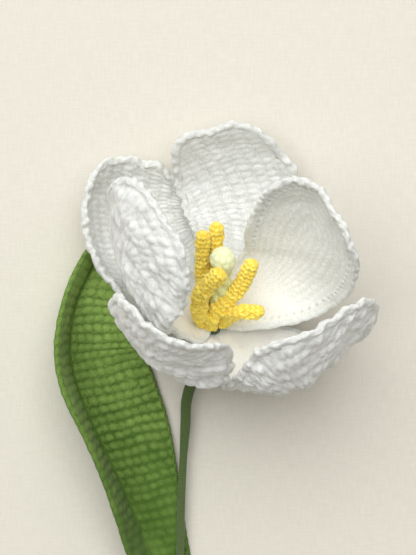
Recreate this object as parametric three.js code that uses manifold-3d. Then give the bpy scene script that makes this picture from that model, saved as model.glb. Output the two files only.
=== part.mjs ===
// A crocheted tulip lying on its side: six wired petals, five stamens, a pistil, a folded leaf
// and a wire stem wrapped in yarn. Millimetres, +Z up, the surface it lies on at z = 0.
// The flower's own axes are +X right, +Y to the rear of the cup and +Z out of the cup.

import * as THREE from 'three';
import { mergeVertices } from 'three/addons/utils/BufferGeometryUtils.js';
import Module from 'manifold-3d';

const wasm = await Module();
wasm.setup();

// Where the flower head sits and how it is tilted
const RECEPTACLE = new THREE.Vector3(-0.12, 90.84, 21.6);
const AXIS_FROM_VERTICAL = 48;
const AXIS_LEAN = 9;

// Crocheted fabric of the petals
const FABRIC_THICKNESS = 2.0;
const RIM_RADIUS = 1.45;
const RIM_SECTION = [138, 90, 38, -38, -90, -138];
const ROUND_RELIEF = 0.22;
const RIM_SCALLOP = 0.1;
const STEM_TO_PETAL = 3.0;
const LAYER_DROP = 3.3;
const LAYER_REACH = 0.3;
const PETAL_COLUMNS = 36;
const PETAL_ROUNDS = 7;
const ROUNDS_TO_RIM = PETAL_ROUNDS + 0.6;

// Midline of each petal: steps, how far it runs on past the tip, and the shares of its length
// over which the roll and the cup come in and the tip curls
const MIDLINE_STEPS = 220;
const OVERRUN = 1.1;
const ROLL_FROM_BASE = 0.25;
const CUP_FROM_BASE = 0.35;
const TIP_CUP_FROM = 0.6;
const TIP_CURL_FROM = 0.72;
const SWAY_POWER = 1.5;
const SKEW_WIDTH = 6;
const WIDEST_BEND = 2.6;

// Wire in each petal's rim and in the leaf's midrib, and the tunnel it lies in
const EDGE_WIRE_RADIUS = 0.35;
const EDGE_TUNNEL_RADIUS = 0.85;
const EDGE_WIRE_SIDES = 4;
const WIRE_FIRST_COLUMN = 3;
const WIRE_SHORT_OF_MOUTH = 2.5;
const WIRE_SHORT_OF_TAIL = 0.4;
const WIRE_MOUTH_ACROSS = 4.0;
const WIRE_MOUTH_BEYOND = 1.6;

// Angles in degrees, cups in 1/mm: start and finish are the midline's slope over the rim's plane
const PETALS = [
  {
    name: 'petal_right', layer: 0, azimuth: 30, sway: -39, start: 31.5, finish: 85,
    bendFrom: 0.22, bendTo: 0.52, curl: 18.5, cup: 0.032, cupTip: 0.036, skew: 0.95,
    rollBase: 17.5, rollTip: 25, length: 73.5, halfWidth: 23, egg: 0.44, blunt: 0.61,
  },
  {
    name: 'petal_left', layer: 0, azimuth: 169, sway: 38.5, start: 27, finish: 88,
    bendFrom: 0.22, bendTo: 0.56, curl: 30, cup: 0.016, cupTip: 0.017, skew: 0.1,
    rollBase: 15, rollTip: 13.5, length: 74.5, halfWidth: 23.5, egg: 0.26, blunt: 0.61,
  },
  {
    name: 'petal_rear', layer: 1, azimuth: 49.5, sway: 43.5, start: 19.5, finish: 91.5,
    bendFrom: 0.3, bendTo: 0.9, curl: 3.5, cup: 0.033, cupTip: 0.018, skew: 0.1,
    rollBase: 17.5, rollTip: 4.5, length: 75, halfWidth: 22.5, egg: 0.07, blunt: 0.57,
  },
  {
    name: 'petal_front_left', layer: 1, azimuth: 219, sway: 22.5, start: 10.5, finish: 63,
    bendFrom: 0.34, bendTo: 0.5, curl: 2, cup: 0.031, cupTip: 0.048, skew: 0.2,
    rollBase: -7.5, rollTip: 1.5, length: 61, halfWidth: 24, egg: 0.22, blunt: 0.59,
  },
  {
    name: 'petal_rear_left', layer: 2, azimuth: 128.5, sway: -12.5, start: 11.5, finish: 80.5,
    bendFrom: 0.32, bendTo: 0.97, curl: 7, cup: 0.04, cupTip: 0.039, skew: 0.4,
    rollBase: -4.5, rollTip: -23, length: 73, halfWidth: 25, egg: 0.15, blunt: 0.62,
  },
  {
    name: 'petal_front_right', layer: 2, azimuth: 318.5, sway: -13, start: 3.5, finish: 86,
    bendFrom: 0.15, bendTo: 0.82, curl: 9.5, cup: 0.029, cupTip: 0.029, skew: -0.9,
    rollBase: 9.5, rollTip: -4.5, length: 72.5, halfWidth: 27, egg: 0.15, blunt: 0.58,
  },
];
const PETALS_ON_SURFACE = ['petal_rear', 'petal_rear_left'];

// Stamens and pistil, in the flower's axes: base, middle and tip of each cord
const STAMEN_RADIUS = 2.0;
const STAMEN_ROOT_RADIUS = 0.75;
const STAMEN_ROOT_RING = 1.75;
const STAMEN_ROOT_HEIGHT = 1.1;
const STAMEN_SPREAD = 1.35;
const STAMEN_SPREAD_HEIGHT = 5.5;
const STAMEN_SWELL = [0.08, 0.38];
const STAMEN_ROWS = 9;
const STAMEN_TIP_SHARE = 0.75;
const CORD_SIDES = 8;
const STAMENS = [
  { name: 'stamen_rear_left', root: 140, middle: [-5.2, 5.9, 20.5], tip: [-6.8, 7.0, 36.0] },
  { name: 'stamen_rear', root: 68, middle: [-0.6, 6.7, 21.0], tip: [-2.1, 9.2, 38.0] },
  { name: 'stamen_front_left', root: 212, middle: [-4.9, -4.3, 19.0], tip: [-2.0, -7.6, 32.5] },
  { name: 'stamen_right', root: 356, middle: [4.6, -2.2, 18.5], tip: [9.0, -1.5, 32.0] },
  { name: 'stamen_front_right', root: 284, middle: [5.6, -6.4, 11.8], tip: [14.0, -8.4, 15.5] },
];
const PISTIL_CENTRE_HEIGHT = 28.5;
const PISTIL_LEAN = [-0.3, 1.0];
const PISTIL_BALL_RADIUS = 4.35;
const PISTIL_STALK_RADIUS = 1.5;
const PISTIL_ROOT_RADIUS = 0.6;
const PISTIL_ROOT_TOP = 4.5;
const PISTIL_STALK_FROM = 11.0;
const PISTIL_NECK_SHARE = 0.92;
const PISTIL_SIDES = 14;
const BALL_FROM_DEGREES = -50;
const BALL_STEP_DEGREES = 20;

// Stem: route points in plan from the receptacle, with heights over the surface
const STEM_TOP_OVER_RECEPTACLE = 0.8;
const STEM_STRAIGHT_DEPTHS = [4.0, 8.0];
const STEM_ROUTE = [
  [-3.6, -11.5, 11.2],
  [-6.6, -17.5, 7.6],
  [-8.9, -25.0, 5.3],
  [-9.3, -33.0, 4.4],
  [-10.0, -44.0, 4.25],
  [-10.7, -59.0, 4.25],
  [-11.0, -75.0, 4.25],
  [-11.2, -93.0, 4.6],
  [-11.0, -110.0, 5.0],
  [-10.9, -124.0, 5.0],
  [-10.6, -134.0, 4.7],
  [-9.6, -158.0, 2.3],
  [-8.2, -195.0, 1.25],
  [-6.5, -250.0, 1.25],
];
// Outer radius of the wrapped stem at distances from its top end
const STEM_PROFILE = [
  [0, 2.65], [8.6, 2.65], [9.4, 4.6], [12.5, 3.4], [17, 2.1], [24, 2.05], [42, 1.8], [52, 1.4], [275, 1.4],
];
const STEM_STEPS = 46;
const STEM_SIDES = 8;
const CORE_WIRE_RADIUS = 0.6;
const CORE_BORE_RADIUS = 0.95;
const CORE_SIDES = 6;
const CORE_FROM_TOP = 3.0;
const CORE_TOP_GAP = 0.5;
const CORE_END_GAP = 0.3;
const CORE_STOPS = 36;

// Leaf: midline in plan from the receptacle with its height, from the tip to the tail
const LEAF_MIDLINE = [
  [-36.5, 31.0, 1.5],
  [-41.2, 21.0, 1.4],
  [-46.2, 10.7, 1.35],
  [-48.7, 0.5, 1.35],
  [-49.4, -8.1, 1.35],
  [-48.0, -16.6, 1.35],
  [-43.9, -28.5, 1.35],
  [-39.2, -38.7, 1.35],
  [-31.0, -55.8, 1.35],
  [-22.1, -76.2, 1.35],
  [-15.3, -93.3, 1.5],
  [-11.5, -108.6, 1.9],
  [-10.9, -124.0, 2.35],
];
// Share of the way to the tail, half width, fold of each half, roll of the section and fold radius
const LEAF_STATIONS = [
  { at: 0.0, halfWidth: 3.0, fold: 30, roll: 28, foldRadius: 4.0 },
  { at: 0.05, halfWidth: 8.5, fold: 37, roll: 35, foldRadius: 4.0 },
  { at: 0.12, halfWidth: 15.0, fold: 43, roll: 40, foldRadius: 3.5 },
  { at: 0.2, halfWidth: 21.0, fold: 45, roll: 41, foldRadius: 3.0 },
  { at: 0.33, halfWidth: 26.5, fold: 46, roll: 42, foldRadius: 3.0 },
  { at: 0.43, halfWidth: 26.0, fold: 47, roll: 43, foldRadius: 3.0 },
  { at: 0.5, halfWidth: 24.0, fold: 46, roll: 42, foldRadius: 3.0 },
  { at: 0.58, halfWidth: 20.0, fold: 43, roll: 40, foldRadius: 3.0 },
  { at: 0.7, halfWidth: 14.5, fold: 36, roll: 33, foldRadius: 3.0 },
  { at: 0.85, halfWidth: 9.0, fold: 31, roll: 27, foldRadius: 3.0 },
  { at: 0.93, halfWidth: 5.8, fold: 80, roll: 5, foldRadius: 2.75 },
  { at: 1.0, halfWidth: 4.4, fold: 96, roll: 0, foldRadius: 2.6 },
];
const LEAF_ACROSS = [-1, -0.68, -0.38, -0.15, 0, 0.15, 0.38, 0.68, 1];
const LEAF_ROWS = 40;
const LEAF_THICKNESS = 2.0;
const LEAF_TAIL_THICKNESS = 1.8;
const LEAF_ROW_RELIEF = 0.2;
const LEAF_THINS_FROM = 0.7;
const ROWS_FADE = [0.75, 0.9];
const MIDRIB_EXTRA = 0.45;
const MIDRIB_WIDTH = 2.2;
const MIDRIB_ENDS_FROM = 0.85;
const LEAF_WIRE_FIRST_ROW = 3;

// Yarn that ties the leaf's tail to the stem
const TIE_LENGTH = 13.0;
const TIE_INNER_RADIUS = 3.85;
const TIE_WALL = 0.75;
const TIE_BULGE = 0.4;
const TIE_FULL_SHARE = 0.7;
const TIE_SIDES = 20;
const TIE_CENTRE = [-10.9, -121.0, 4.75];

// Slab that stands for the surface when a piece is cut flat on it
const FLOOR_REACH = 400;
const FLOOR_DEPTH = 20;

const PETAL_WHITE = { color: 0xf1f1ee, roughness: 0.9, metalness: 0 };
const STAMEN_YELLOW = { color: 0xebbe2c, roughness: 0.9, metalness: 0 };
const PISTIL_GREEN = { color: 0xe6ecb4, roughness: 0.9, metalness: 0 };
const LEAF_GREEN = { color: 0x5d8f3c, roughness: 0.9, metalness: 0 };
const STEM_GREEN = { color: 0x3f5a28, roughness: 0.9, metalness: 0 };
const STEEL = { color: 0x9a9c9e, roughness: 0.4, metalness: 0.9 };

const radians = THREE.MathUtils.degToRad;
const lerp = THREE.MathUtils.lerp;

// Eases from 0 to 1 as x goes from 0 to 1
function smooth(x) {
  const t = THREE.MathUtils.clamp(x, 0, 1);
  return t * t * (3 - 2 * t);
}

// The same between two shares of a length
function easeBetween(share, from, to = 1) {
  return smooth((share - from) / (to - from));
}

// The flower's axes in the world: right, rear and out of the cup
function flowerAxes() {
  const tilt = radians(AXIS_FROM_VERTICAL);
  const lean = radians(AXIS_LEAN);
  const out = new THREE.Vector3(
    Math.sin(tilt) * Math.sin(lean),
    Math.sin(tilt) * Math.cos(lean),
    Math.cos(tilt),
  );
  const rear = new THREE.Vector3(0, 1, 0);
  rear.addScaledVector(out, -rear.dot(out)).normalize();
  const right = new THREE.Vector3().crossVectors(rear, out);
  return { right, rear, out };
}

// Closed skin over rings of points, its ends closed by a fan round each end ring's centre
function loft(rings) {
  const around = rings[0].length;
  const positions = rings.flat().flatMap((point) => point.toArray());
  const index = [];
  for (let row = 0; row + 1 < rings.length; row += 1) {
    for (let i = 0; i < around; i += 1) {
      const next = (i + 1) % around;
      const a = row * around + i;
      const b = row * around + next;
      index.push(a, b, a + around, b, b + around, a + around);
    }
  }
  for (const end of [0, rings.length - 1]) {
    const centre = positions.length / 3;
    const middle = new THREE.Vector3();
    for (const point of rings[end]) {
      middle.addScaledVector(point, 1 / around);
    }
    positions.push(...middle.toArray());
    for (let i = 0; i < around; i += 1) {
      const a = end * around + i;
      const b = end * around + ((i + 1) % around);
      index.push(...(end === 0 ? [centre, b, a] : [centre, a, b]));
    }
  }
  const geometry = new THREE.BufferGeometry();
  geometry.setAttribute('position', new THREE.Float32BufferAttribute(positions, 3));
  geometry.setIndex(index);
  return outward(geometry);
}

// Turns a closed skin's triangles so that they face out
function outward(geometry) {
  const at = geometry.getAttribute('position');
  const index = Array.from(geometry.getIndex().array);
  const corner = [0, 1, 2].map(() => new THREE.Vector3());
  let volume = 0;
  for (let i = 0; i < index.length; i += 3) {
    corner.forEach((point, k) => point.fromBufferAttribute(at, index[i + k]));
    volume += corner[0].dot(corner[1].clone().cross(corner[2]));
  }
  if (volume < 0) {
    for (let i = 0; i < index.length; i += 3) {
      [index[i], index[i + 1]] = [index[i + 1], index[i]];
    }
    geometry.setIndex(index);
  }
  return geometry;
}

function toSolid(geometry) {
  const bare = geometry.clone();
  bare.deleteAttribute('normal');
  bare.deleteAttribute('uv');
  const merged = mergeVertices(bare);
  return new wasm.Manifold(new wasm.Mesh({
    numProp: 3,
    vertProperties: Float32Array.from(merged.getAttribute('position').array),
    triVerts: Uint32Array.from(merged.getIndex().array),
  }));
}

function toGeometry(solid) {
  const mesh = solid.getMesh();
  const geometry = new THREE.BufferGeometry();
  geometry.setAttribute('position', new THREE.BufferAttribute(mesh.vertProperties, 3));
  geometry.setIndex(new THREE.BufferAttribute(mesh.triVerts, 1));
  return geometry;
}

// Tube along a curve with a regular section
function tube(points, radius, sides, steps) {
  const section = new THREE.Shape();
  for (let i = 0; i < sides; i += 1) {
    const angle = (i / sides) * 2 * Math.PI;
    const x = radius * Math.cos(angle);
    const y = radius * Math.sin(angle);
    if (i === 0) section.moveTo(x, y);
    else section.lineTo(x, y);
  }
  section.closePath();
  const extrudePath = new THREE.CatmullRomCurve3(points, false, 'centripetal');
  return new THREE.ExtrudeGeometry(section, { steps, bevelEnabled: false, extrudePath });
}

// Takes away what reaches below the surface, leaving a flat spot to rest on
function restOnSurface(solid, placement) {
  const slab = new THREE.BoxGeometry(FLOOR_REACH * 2, FLOOR_REACH * 2, FLOOR_DEPTH);
  slab.translate(0, 0, -FLOOR_DEPTH / 2);
  slab.applyMatrix4(placement.clone().invert());
  return solid.subtract(toSolid(slab));
}

// A petal's shape: flat coordinates (across, along) laid on a midline that bends, sways and
// rolls, with a round section across it. Flat across 0 is the midline and along 0 the base.
class PetalShape {
  constructor(spec) {
    this.spec = spec;
    this.stations = [];
    this.widest = 0;
    for (let i = 0; i <= MIDLINE_STEPS; i += 1) {
      const turn = (Math.PI * i) / MIDLINE_STEPS;
      this.widest = Math.max(this.widest, this.outlineShare(turn));
    }
    this.layMidline();
  }

  outlineShare(turn) {
    return Math.sin(turn) ** this.spec.blunt * (1 - this.spec.egg * Math.cos(turn));
  }

  // Outline point for a turn of 0 at the base, pi at the tip and on to 2 pi back at the base
  outline(turn, inset = 0) {
    const { length, halfWidth } = this.spec;
    const half = turn > Math.PI ? 2 * Math.PI - turn : turn;
    const side = turn > Math.PI ? -1 : 1;
    const width = (halfWidth * this.outlineShare(Math.max(half, 0))) / this.widest;
    const along = (length * (1 - Math.cos(half))) / 2;
    const shrink = 1 - inset / (length / 2);
    return {
      across: side * Math.max(width - inset, 0),
      along: length / 2 + (along - length / 2) * shrink,
    };
  }

  slope(share) {
    const { start, finish, bendFrom, bendTo, curl } = this.spec;
    const bend = easeBetween(share, bendFrom, bendTo);
    return radians(start + (finish - start) * bend + curl * easeBetween(share, TIP_CURL_FROM));
  }

  layMidline() {
    const { spec } = this;
    const step = (spec.length * OVERRUN) / MIDLINE_STEPS;
    let reach = STEM_TO_PETAL + LAYER_REACH * spec.layer;
    let height = -LAYER_DROP * spec.layer;
    const points = [];
    for (let i = 0; i <= MIDLINE_STEPS; i += 1) {
      const share = (OVERRUN * i) / MIDLINE_STEPS;
      if (i > 0) {
        const before = this.slope((OVERRUN * (i - 1)) / MIDLINE_STEPS);
        const now = this.slope(share);
        reach += ((Math.cos(before) + Math.cos(now)) / 2) * step;
        height += ((Math.sin(before) + Math.sin(now)) / 2) * step;
      }
      const azimuth = radians(spec.azimuth + spec.sway * share ** SWAY_POWER);
      const centre = new THREE.Vector3(reach * Math.cos(azimuth), reach * Math.sin(azimuth), height);
      points.push({ share, azimuth, centre });
    }
    points.forEach((point, i) => {
      const before = points[Math.max(i - 1, 0)].centre;
      const after = points[Math.min(i + 1, MIDLINE_STEPS)].centre;
      const along = after.clone().sub(before).normalize();
      const across = new THREE.Vector3(-Math.sin(point.azimuth), Math.cos(point.azimuth), 0);
      across.addScaledVector(along, -across.dot(along)).normalize();
      const inward = new THREE.Vector3().crossVectors(along, across);
      const fullRoll = radians(lerp(spec.rollBase, spec.rollTip, point.share));
      const roll = fullRoll * easeBetween(point.share, 0, ROLL_FROM_BASE);
      const cup = spec.cup * easeBetween(point.share, 0, CUP_FROM_BASE)
        + (spec.cupTip - spec.cup) * easeBetween(point.share, TIP_CUP_FROM);
      this.stations.push({
        centre: point.centre,
        across: across.clone().multiplyScalar(Math.cos(roll)).addScaledVector(inward, Math.sin(roll)),
        inward: inward.clone().multiplyScalar(Math.cos(roll)).addScaledVector(across, -Math.sin(roll)),
        cup,
      });
    });
  }

  // Place and inward normal of the middle of the fabric at a flat point
  at(across, along) {
    const where = (along / (this.spec.length * OVERRUN)) * MIDLINE_STEPS;
    const i = THREE.MathUtils.clamp(Math.floor(where), 0, MIDLINE_STEPS - 1);
    const part = THREE.MathUtils.clamp(where - i, 0, 1);
    const low = this.stations[i];
    const high = this.stations[i + 1];
    const centre = low.centre.clone().lerp(high.centre, part);
    const sideways = low.across.clone().lerp(high.across, part);
    const inward = low.inward.clone().lerp(high.inward, part);
    const skewed = 1 + this.spec.skew * Math.tanh(across / SKEW_WIDTH);
    const cup = lerp(low.cup, high.cup, part) * skewed + 1e-6;
    const angle = THREE.MathUtils.clamp(across * cup, -WIDEST_BEND, WIDEST_BEND);
    const place = centre
      .addScaledVector(sideways, Math.sin(angle) / cup)
      .addScaledVector(inward, (1 - Math.cos(angle)) / cup);
    const normal = inward.multiplyScalar(Math.cos(angle)).addScaledVector(sideways, -Math.sin(angle));
    return { place, normal: normal.normalize() };
  }

  // Middle of the rim at each column, with the directions out of the petal and into the cup
  rim() {
    const spots = Array.from({ length: PETAL_COLUMNS }, (_, i) => {
      const edge = this.outline((2 * Math.PI * i) / PETAL_COLUMNS, RIM_RADIUS);
      return { ...edge, ...this.at(edge.across, edge.along) };
    });
    return spots.map((spot, i) => {
      const before = spots[(i + PETAL_COLUMNS - 1) % PETAL_COLUMNS].place;
      const after = spots[(i + 1) % PETAL_COLUMNS].place;
      const out = spot.normal.clone().cross(after.clone().sub(before)).normalize();
      return { ...spot, out };
    });
  }

  // Fabric in rounds parallel to the edge, with a thicker scalloped rim
  fabric() {
    const middle = this.spec.length / 2;
    const rim = this.rim();
    const onFace = (round, face) => {
      const share = round / ROUNDS_TO_RIM;
      const relief = round % 2 === 1 ? ROUND_RELIEF : 0;
      return rim.map((edge) => {
        const spot = this.at(edge.across * share, middle + (edge.along - middle) * share);
        return spot.place.addScaledVector(spot.normal, face * (FABRIC_THICKNESS / 2 + relief));
      });
    };
    const beadRow = (degrees) => rim.map((spot, i) => {
      const radius = RIM_RADIUS - (i % 2) * RIM_SCALLOP;
      return spot.place.clone()
        .addScaledVector(spot.out, radius * Math.cos(radians(degrees)))
        .addScaledVector(spot.normal, radius * Math.sin(radians(degrees)));
    });
    const rounds = Array.from({ length: PETAL_ROUNDS }, (_, i) => i + 1);
    return loft([
      ...rounds.map((round) => onFace(round, 1)),
      ...RIM_SECTION.map(beadRow),
      ...rounds.reverse().map((round) => onFace(round, -1)),
    ]);
  }

  // Square tube inside the rim, from mouth to mouth or stopping short of both mouths
  edgeTube(radius, short) {
    const along = this.rim().slice(WIRE_FIRST_COLUMN, PETAL_COLUMNS - WIRE_FIRST_COLUMN + 1);
    const stops = [this.mouth(along[0], short), ...along, this.mouth(along[along.length - 1], short)];
    return loft(stops.map((stop) => Array.from({ length: EDGE_WIRE_SIDES }, (_, i) => {
      const angle = ((i + 0.5) / EDGE_WIRE_SIDES) * 2 * Math.PI;
      return stop.place.clone()
        .addScaledVector(stop.out, radius * Math.cos(angle))
        .addScaledVector(stop.normal, radius * Math.sin(angle));
    })));
  }

  // Past the base, where the straight line from the rim's lower corner comes out, less short
  mouth(corner, short) {
    const side = Math.sign(corner.across);
    const base = this.at(side * WIRE_MOUTH_ACROSS, 0);
    const down = base.place.clone().sub(this.at(side * WIRE_MOUTH_ACROSS, 1).place);
    const place = base.place.clone().addScaledVector(down, WIRE_MOUTH_BEYOND);
    const travel = corner.place.clone().sub(place);
    place.addScaledVector(travel, short / travel.length());
    const out = base.normal.clone().cross(travel).multiplyScalar(side).normalize();
    return { place, normal: base.normal, out };
  }
}

function named(name, geometry, finish) {
  const mesh = new THREE.Mesh(geometry, new THREE.MeshStandardMaterial(finish));
  mesh.name = name;
  return mesh;
}

function addPetals(head) {
  head.updateWorldMatrix(true, false);
  for (const spec of PETALS) {
    const shape = new PetalShape(spec);
    const tunnel = shape.edgeTube(EDGE_TUNNEL_RADIUS, 0);
    let solid = toSolid(shape.fabric()).subtract(toSolid(tunnel));
    if (PETALS_ON_SURFACE.includes(spec.name)) {
      solid = restOnSurface(solid, head.matrixWorld);
    }
    head.add(named(spec.name, toGeometry(solid), PETAL_WHITE));
    const wire = shape.edgeTube(EDGE_WIRE_RADIUS, WIRE_SHORT_OF_MOUTH);
    head.add(named(spec.name.replace('petal', 'edge_wire'), wire, STEEL));
  }
}

// Round cord through points, with a radius for each ring
function cord(curve, radii, sides) {
  const rows = radii.length - 1;
  const frames = curve.computeFrenetFrames(rows, false);
  const rings = radii.map((radius, row) => {
    const centre = curve.getPointAt(row / rows);
    return Array.from({ length: sides }, (_, i) => {
      const angle = (i / sides) * 2 * Math.PI;
      return centre.clone()
        .addScaledVector(frames.normals[row], radius * Math.cos(angle))
        .addScaledVector(frames.binormals[row], radius * Math.sin(angle));
    });
  });
  return loft(rings);
}

function addStamens(head) {
  for (const { name, root, middle, tip } of STAMENS) {
    const angle = radians(root);
    const base = new THREE.Vector3(
      STAMEN_ROOT_RING * Math.cos(angle), STAMEN_ROOT_RING * Math.sin(angle), STAMEN_ROOT_HEIGHT,
    );
    const rise = new THREE.Vector3(
      STAMEN_SPREAD * base.x, STAMEN_SPREAD * base.y, STAMEN_SPREAD_HEIGHT,
    );
    const curve = new THREE.CatmullRomCurve3(
      [base, rise, new THREE.Vector3(...middle), new THREE.Vector3(...tip)], false, 'centripetal',
    );
    const radii = Array.from({ length: STAMEN_ROWS + 1 }, (_, row) => {
      const share = row / STAMEN_ROWS;
      const swell = lerp(STAMEN_ROOT_RADIUS, STAMEN_RADIUS, easeBetween(share, ...STAMEN_SWELL));
      return row === STAMEN_ROWS ? STAMEN_RADIUS * STAMEN_TIP_SHARE : swell;
    });
    head.add(named(name, cord(curve, radii, CORD_SIDES), STAMEN_YELLOW));
  }
}

function addPistil(head) {
  const top = PISTIL_CENTRE_HEIGHT + PISTIL_BALL_RADIUS;
  const neck = PISTIL_CENTRE_HEIGHT - PISTIL_BALL_RADIUS * PISTIL_NECK_SHARE;
  const profile = [
    [0, STAMEN_ROOT_HEIGHT], [PISTIL_ROOT_RADIUS, STAMEN_ROOT_HEIGHT],
    [PISTIL_ROOT_RADIUS, PISTIL_ROOT_TOP], [PISTIL_STALK_RADIUS, PISTIL_STALK_FROM],
    [PISTIL_STALK_RADIUS, neck],
  ];
  for (let degrees = BALL_FROM_DEGREES; degrees < 90; degrees += BALL_STEP_DEGREES) {
    const angle = radians(degrees);
    profile.push([
      PISTIL_BALL_RADIUS * Math.cos(angle), PISTIL_CENTRE_HEIGHT + PISTIL_BALL_RADIUS * Math.sin(angle),
    ]);
  }
  profile.push([0, top]);
  const points = profile.map(([x, y]) => new THREE.Vector2(x, y));
  const geometry = new THREE.LatheGeometry(points, PISTIL_SIDES);
  geometry.rotateX(Math.PI / 2);
  // The whole pistil leans a little, more at the top than at its root
  const at = geometry.getAttribute('position');
  for (let i = 0; i < at.count; i += 1) {
    const share = (at.getZ(i) - STAMEN_ROOT_HEIGHT) / (PISTIL_CENTRE_HEIGHT - STAMEN_ROOT_HEIGHT);
    at.setX(i, at.getX(i) + PISTIL_LEAN[0] * share);
    at.setY(i, at.getY(i) + PISTIL_LEAN[1] * share);
  }
  head.add(named('pistil', toGeometry(toSolid(geometry)), PISTIL_GREEN));
}

// Stem route: down the flower's axis first, then over the leaf and along the surface
function stemPoints() {
  const { out } = flowerAxes();
  const seat = new THREE.Vector3(0, 0, RECEPTACLE.z);
  return [
    seat.clone().addScaledVector(out, STEM_TOP_OVER_RECEPTACLE),
    ...STEM_STRAIGHT_DEPTHS.map((depth) => seat.clone().addScaledVector(out, -depth)),
    ...STEM_ROUTE.map((point) => new THREE.Vector3(...point)),
  ];
}

function profileRadius(profile, distance) {
  const i = Math.max(profile.findIndex(([at]) => at >= distance), 1);
  const [from, low] = profile[i - 1];
  const [to, high] = profile[i];
  return lerp(low, high, THREE.MathUtils.clamp((distance - from) / (to - from), 0, 1));
}

function addStem(ground) {
  const curve = new THREE.CatmullRomCurve3(stemPoints(), false, 'centripetal');
  const length = curve.getLength();
  const stops = [0, ...STEM_PROFILE.slice(1, -1).map(([at]) => at)];
  const last = stops[stops.length - 1];
  const more = STEM_STEPS - stops.length;
  for (let i = 1; i <= more; i += 1) {
    stops.push(last + ((length - last) * i) / more);
  }
  const up = new THREE.Vector3(1, 0, 0);
  const rings = stops.map((distance) => {
    const centre = curve.getPointAt(Math.min(distance / length, 1));
    const along = curve.getTangentAt(Math.min(distance / length, 1));
    const side = up.clone().addScaledVector(along, -up.dot(along)).normalize();
    const over = new THREE.Vector3().crossVectors(along, side);
    const radius = profileRadius(STEM_PROFILE, distance);
    return Array.from({ length: STEM_SIDES }, (_, i) => {
      const angle = ((i + 0.5) / STEM_SIDES) * 2 * Math.PI;
      return centre.clone()
        .addScaledVector(side, radius * Math.cos(angle))
        .addScaledVector(over, radius * Math.sin(angle));
    });
  });
  const stretch = (from, to) => Array.from({ length: CORE_STOPS }, (_, i) => {
    const distance = lerp(from, to, i / (CORE_STOPS - 1));
    return curve.getPointAt(distance / length);
  });
  const inside = stretch(CORE_FROM_TOP, length);
  const end = inside[inside.length - 1];
  const beyond = end.clone().add(end).sub(inside[inside.length - 2]);
  const bore = tube([...inside, beyond], CORE_BORE_RADIUS, CORE_SIDES, STEM_STEPS);
  const wrap = toSolid(loft(rings)).subtract(toSolid(bore));
  ground.updateWorldMatrix(true, false);
  ground.add(named('stem_wrap', toGeometry(restOnSurface(wrap, ground.matrixWorld)), STEM_GREEN));
  const wirePoints = stretch(CORE_FROM_TOP + CORE_TOP_GAP, length - CORE_END_GAP);
  const wire = tube(wirePoints, CORE_WIRE_RADIUS, CORE_SIDES, STEM_STEPS);
  ground.add(named('stem_core_wire', wire, STEEL));
}

// Smooth value between stations, by cubic pieces whose slopes come from the neighbours
function between(stations, key, share) {
  const i = THREE.MathUtils.clamp(stations.findIndex(({ at }) => at > share) - 1, 0, stations.length - 2);
  const cell = share >= 1 ? stations.length - 2 : i;
  const slopeAt = (k) => {
    const low = stations[Math.max(k - 1, 0)];
    const high = stations[Math.min(k + 1, stations.length - 1)];
    return (high[key] - low[key]) / (high.at - low.at);
  };
  const a = stations[cell];
  const b = stations[cell + 1];
  const width = b.at - a.at;
  const t = (share - a.at) / width;
  const tt = t * t;
  const ttt = tt * t;
  return (2 * ttt - 3 * tt + 1) * a[key] + (ttt - 2 * tt + t) * width * slopeAt(cell)
    + (3 * tt - 2 * ttt) * b[key] + (ttt - tt) * width * slopeAt(cell + 1);
}

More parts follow.
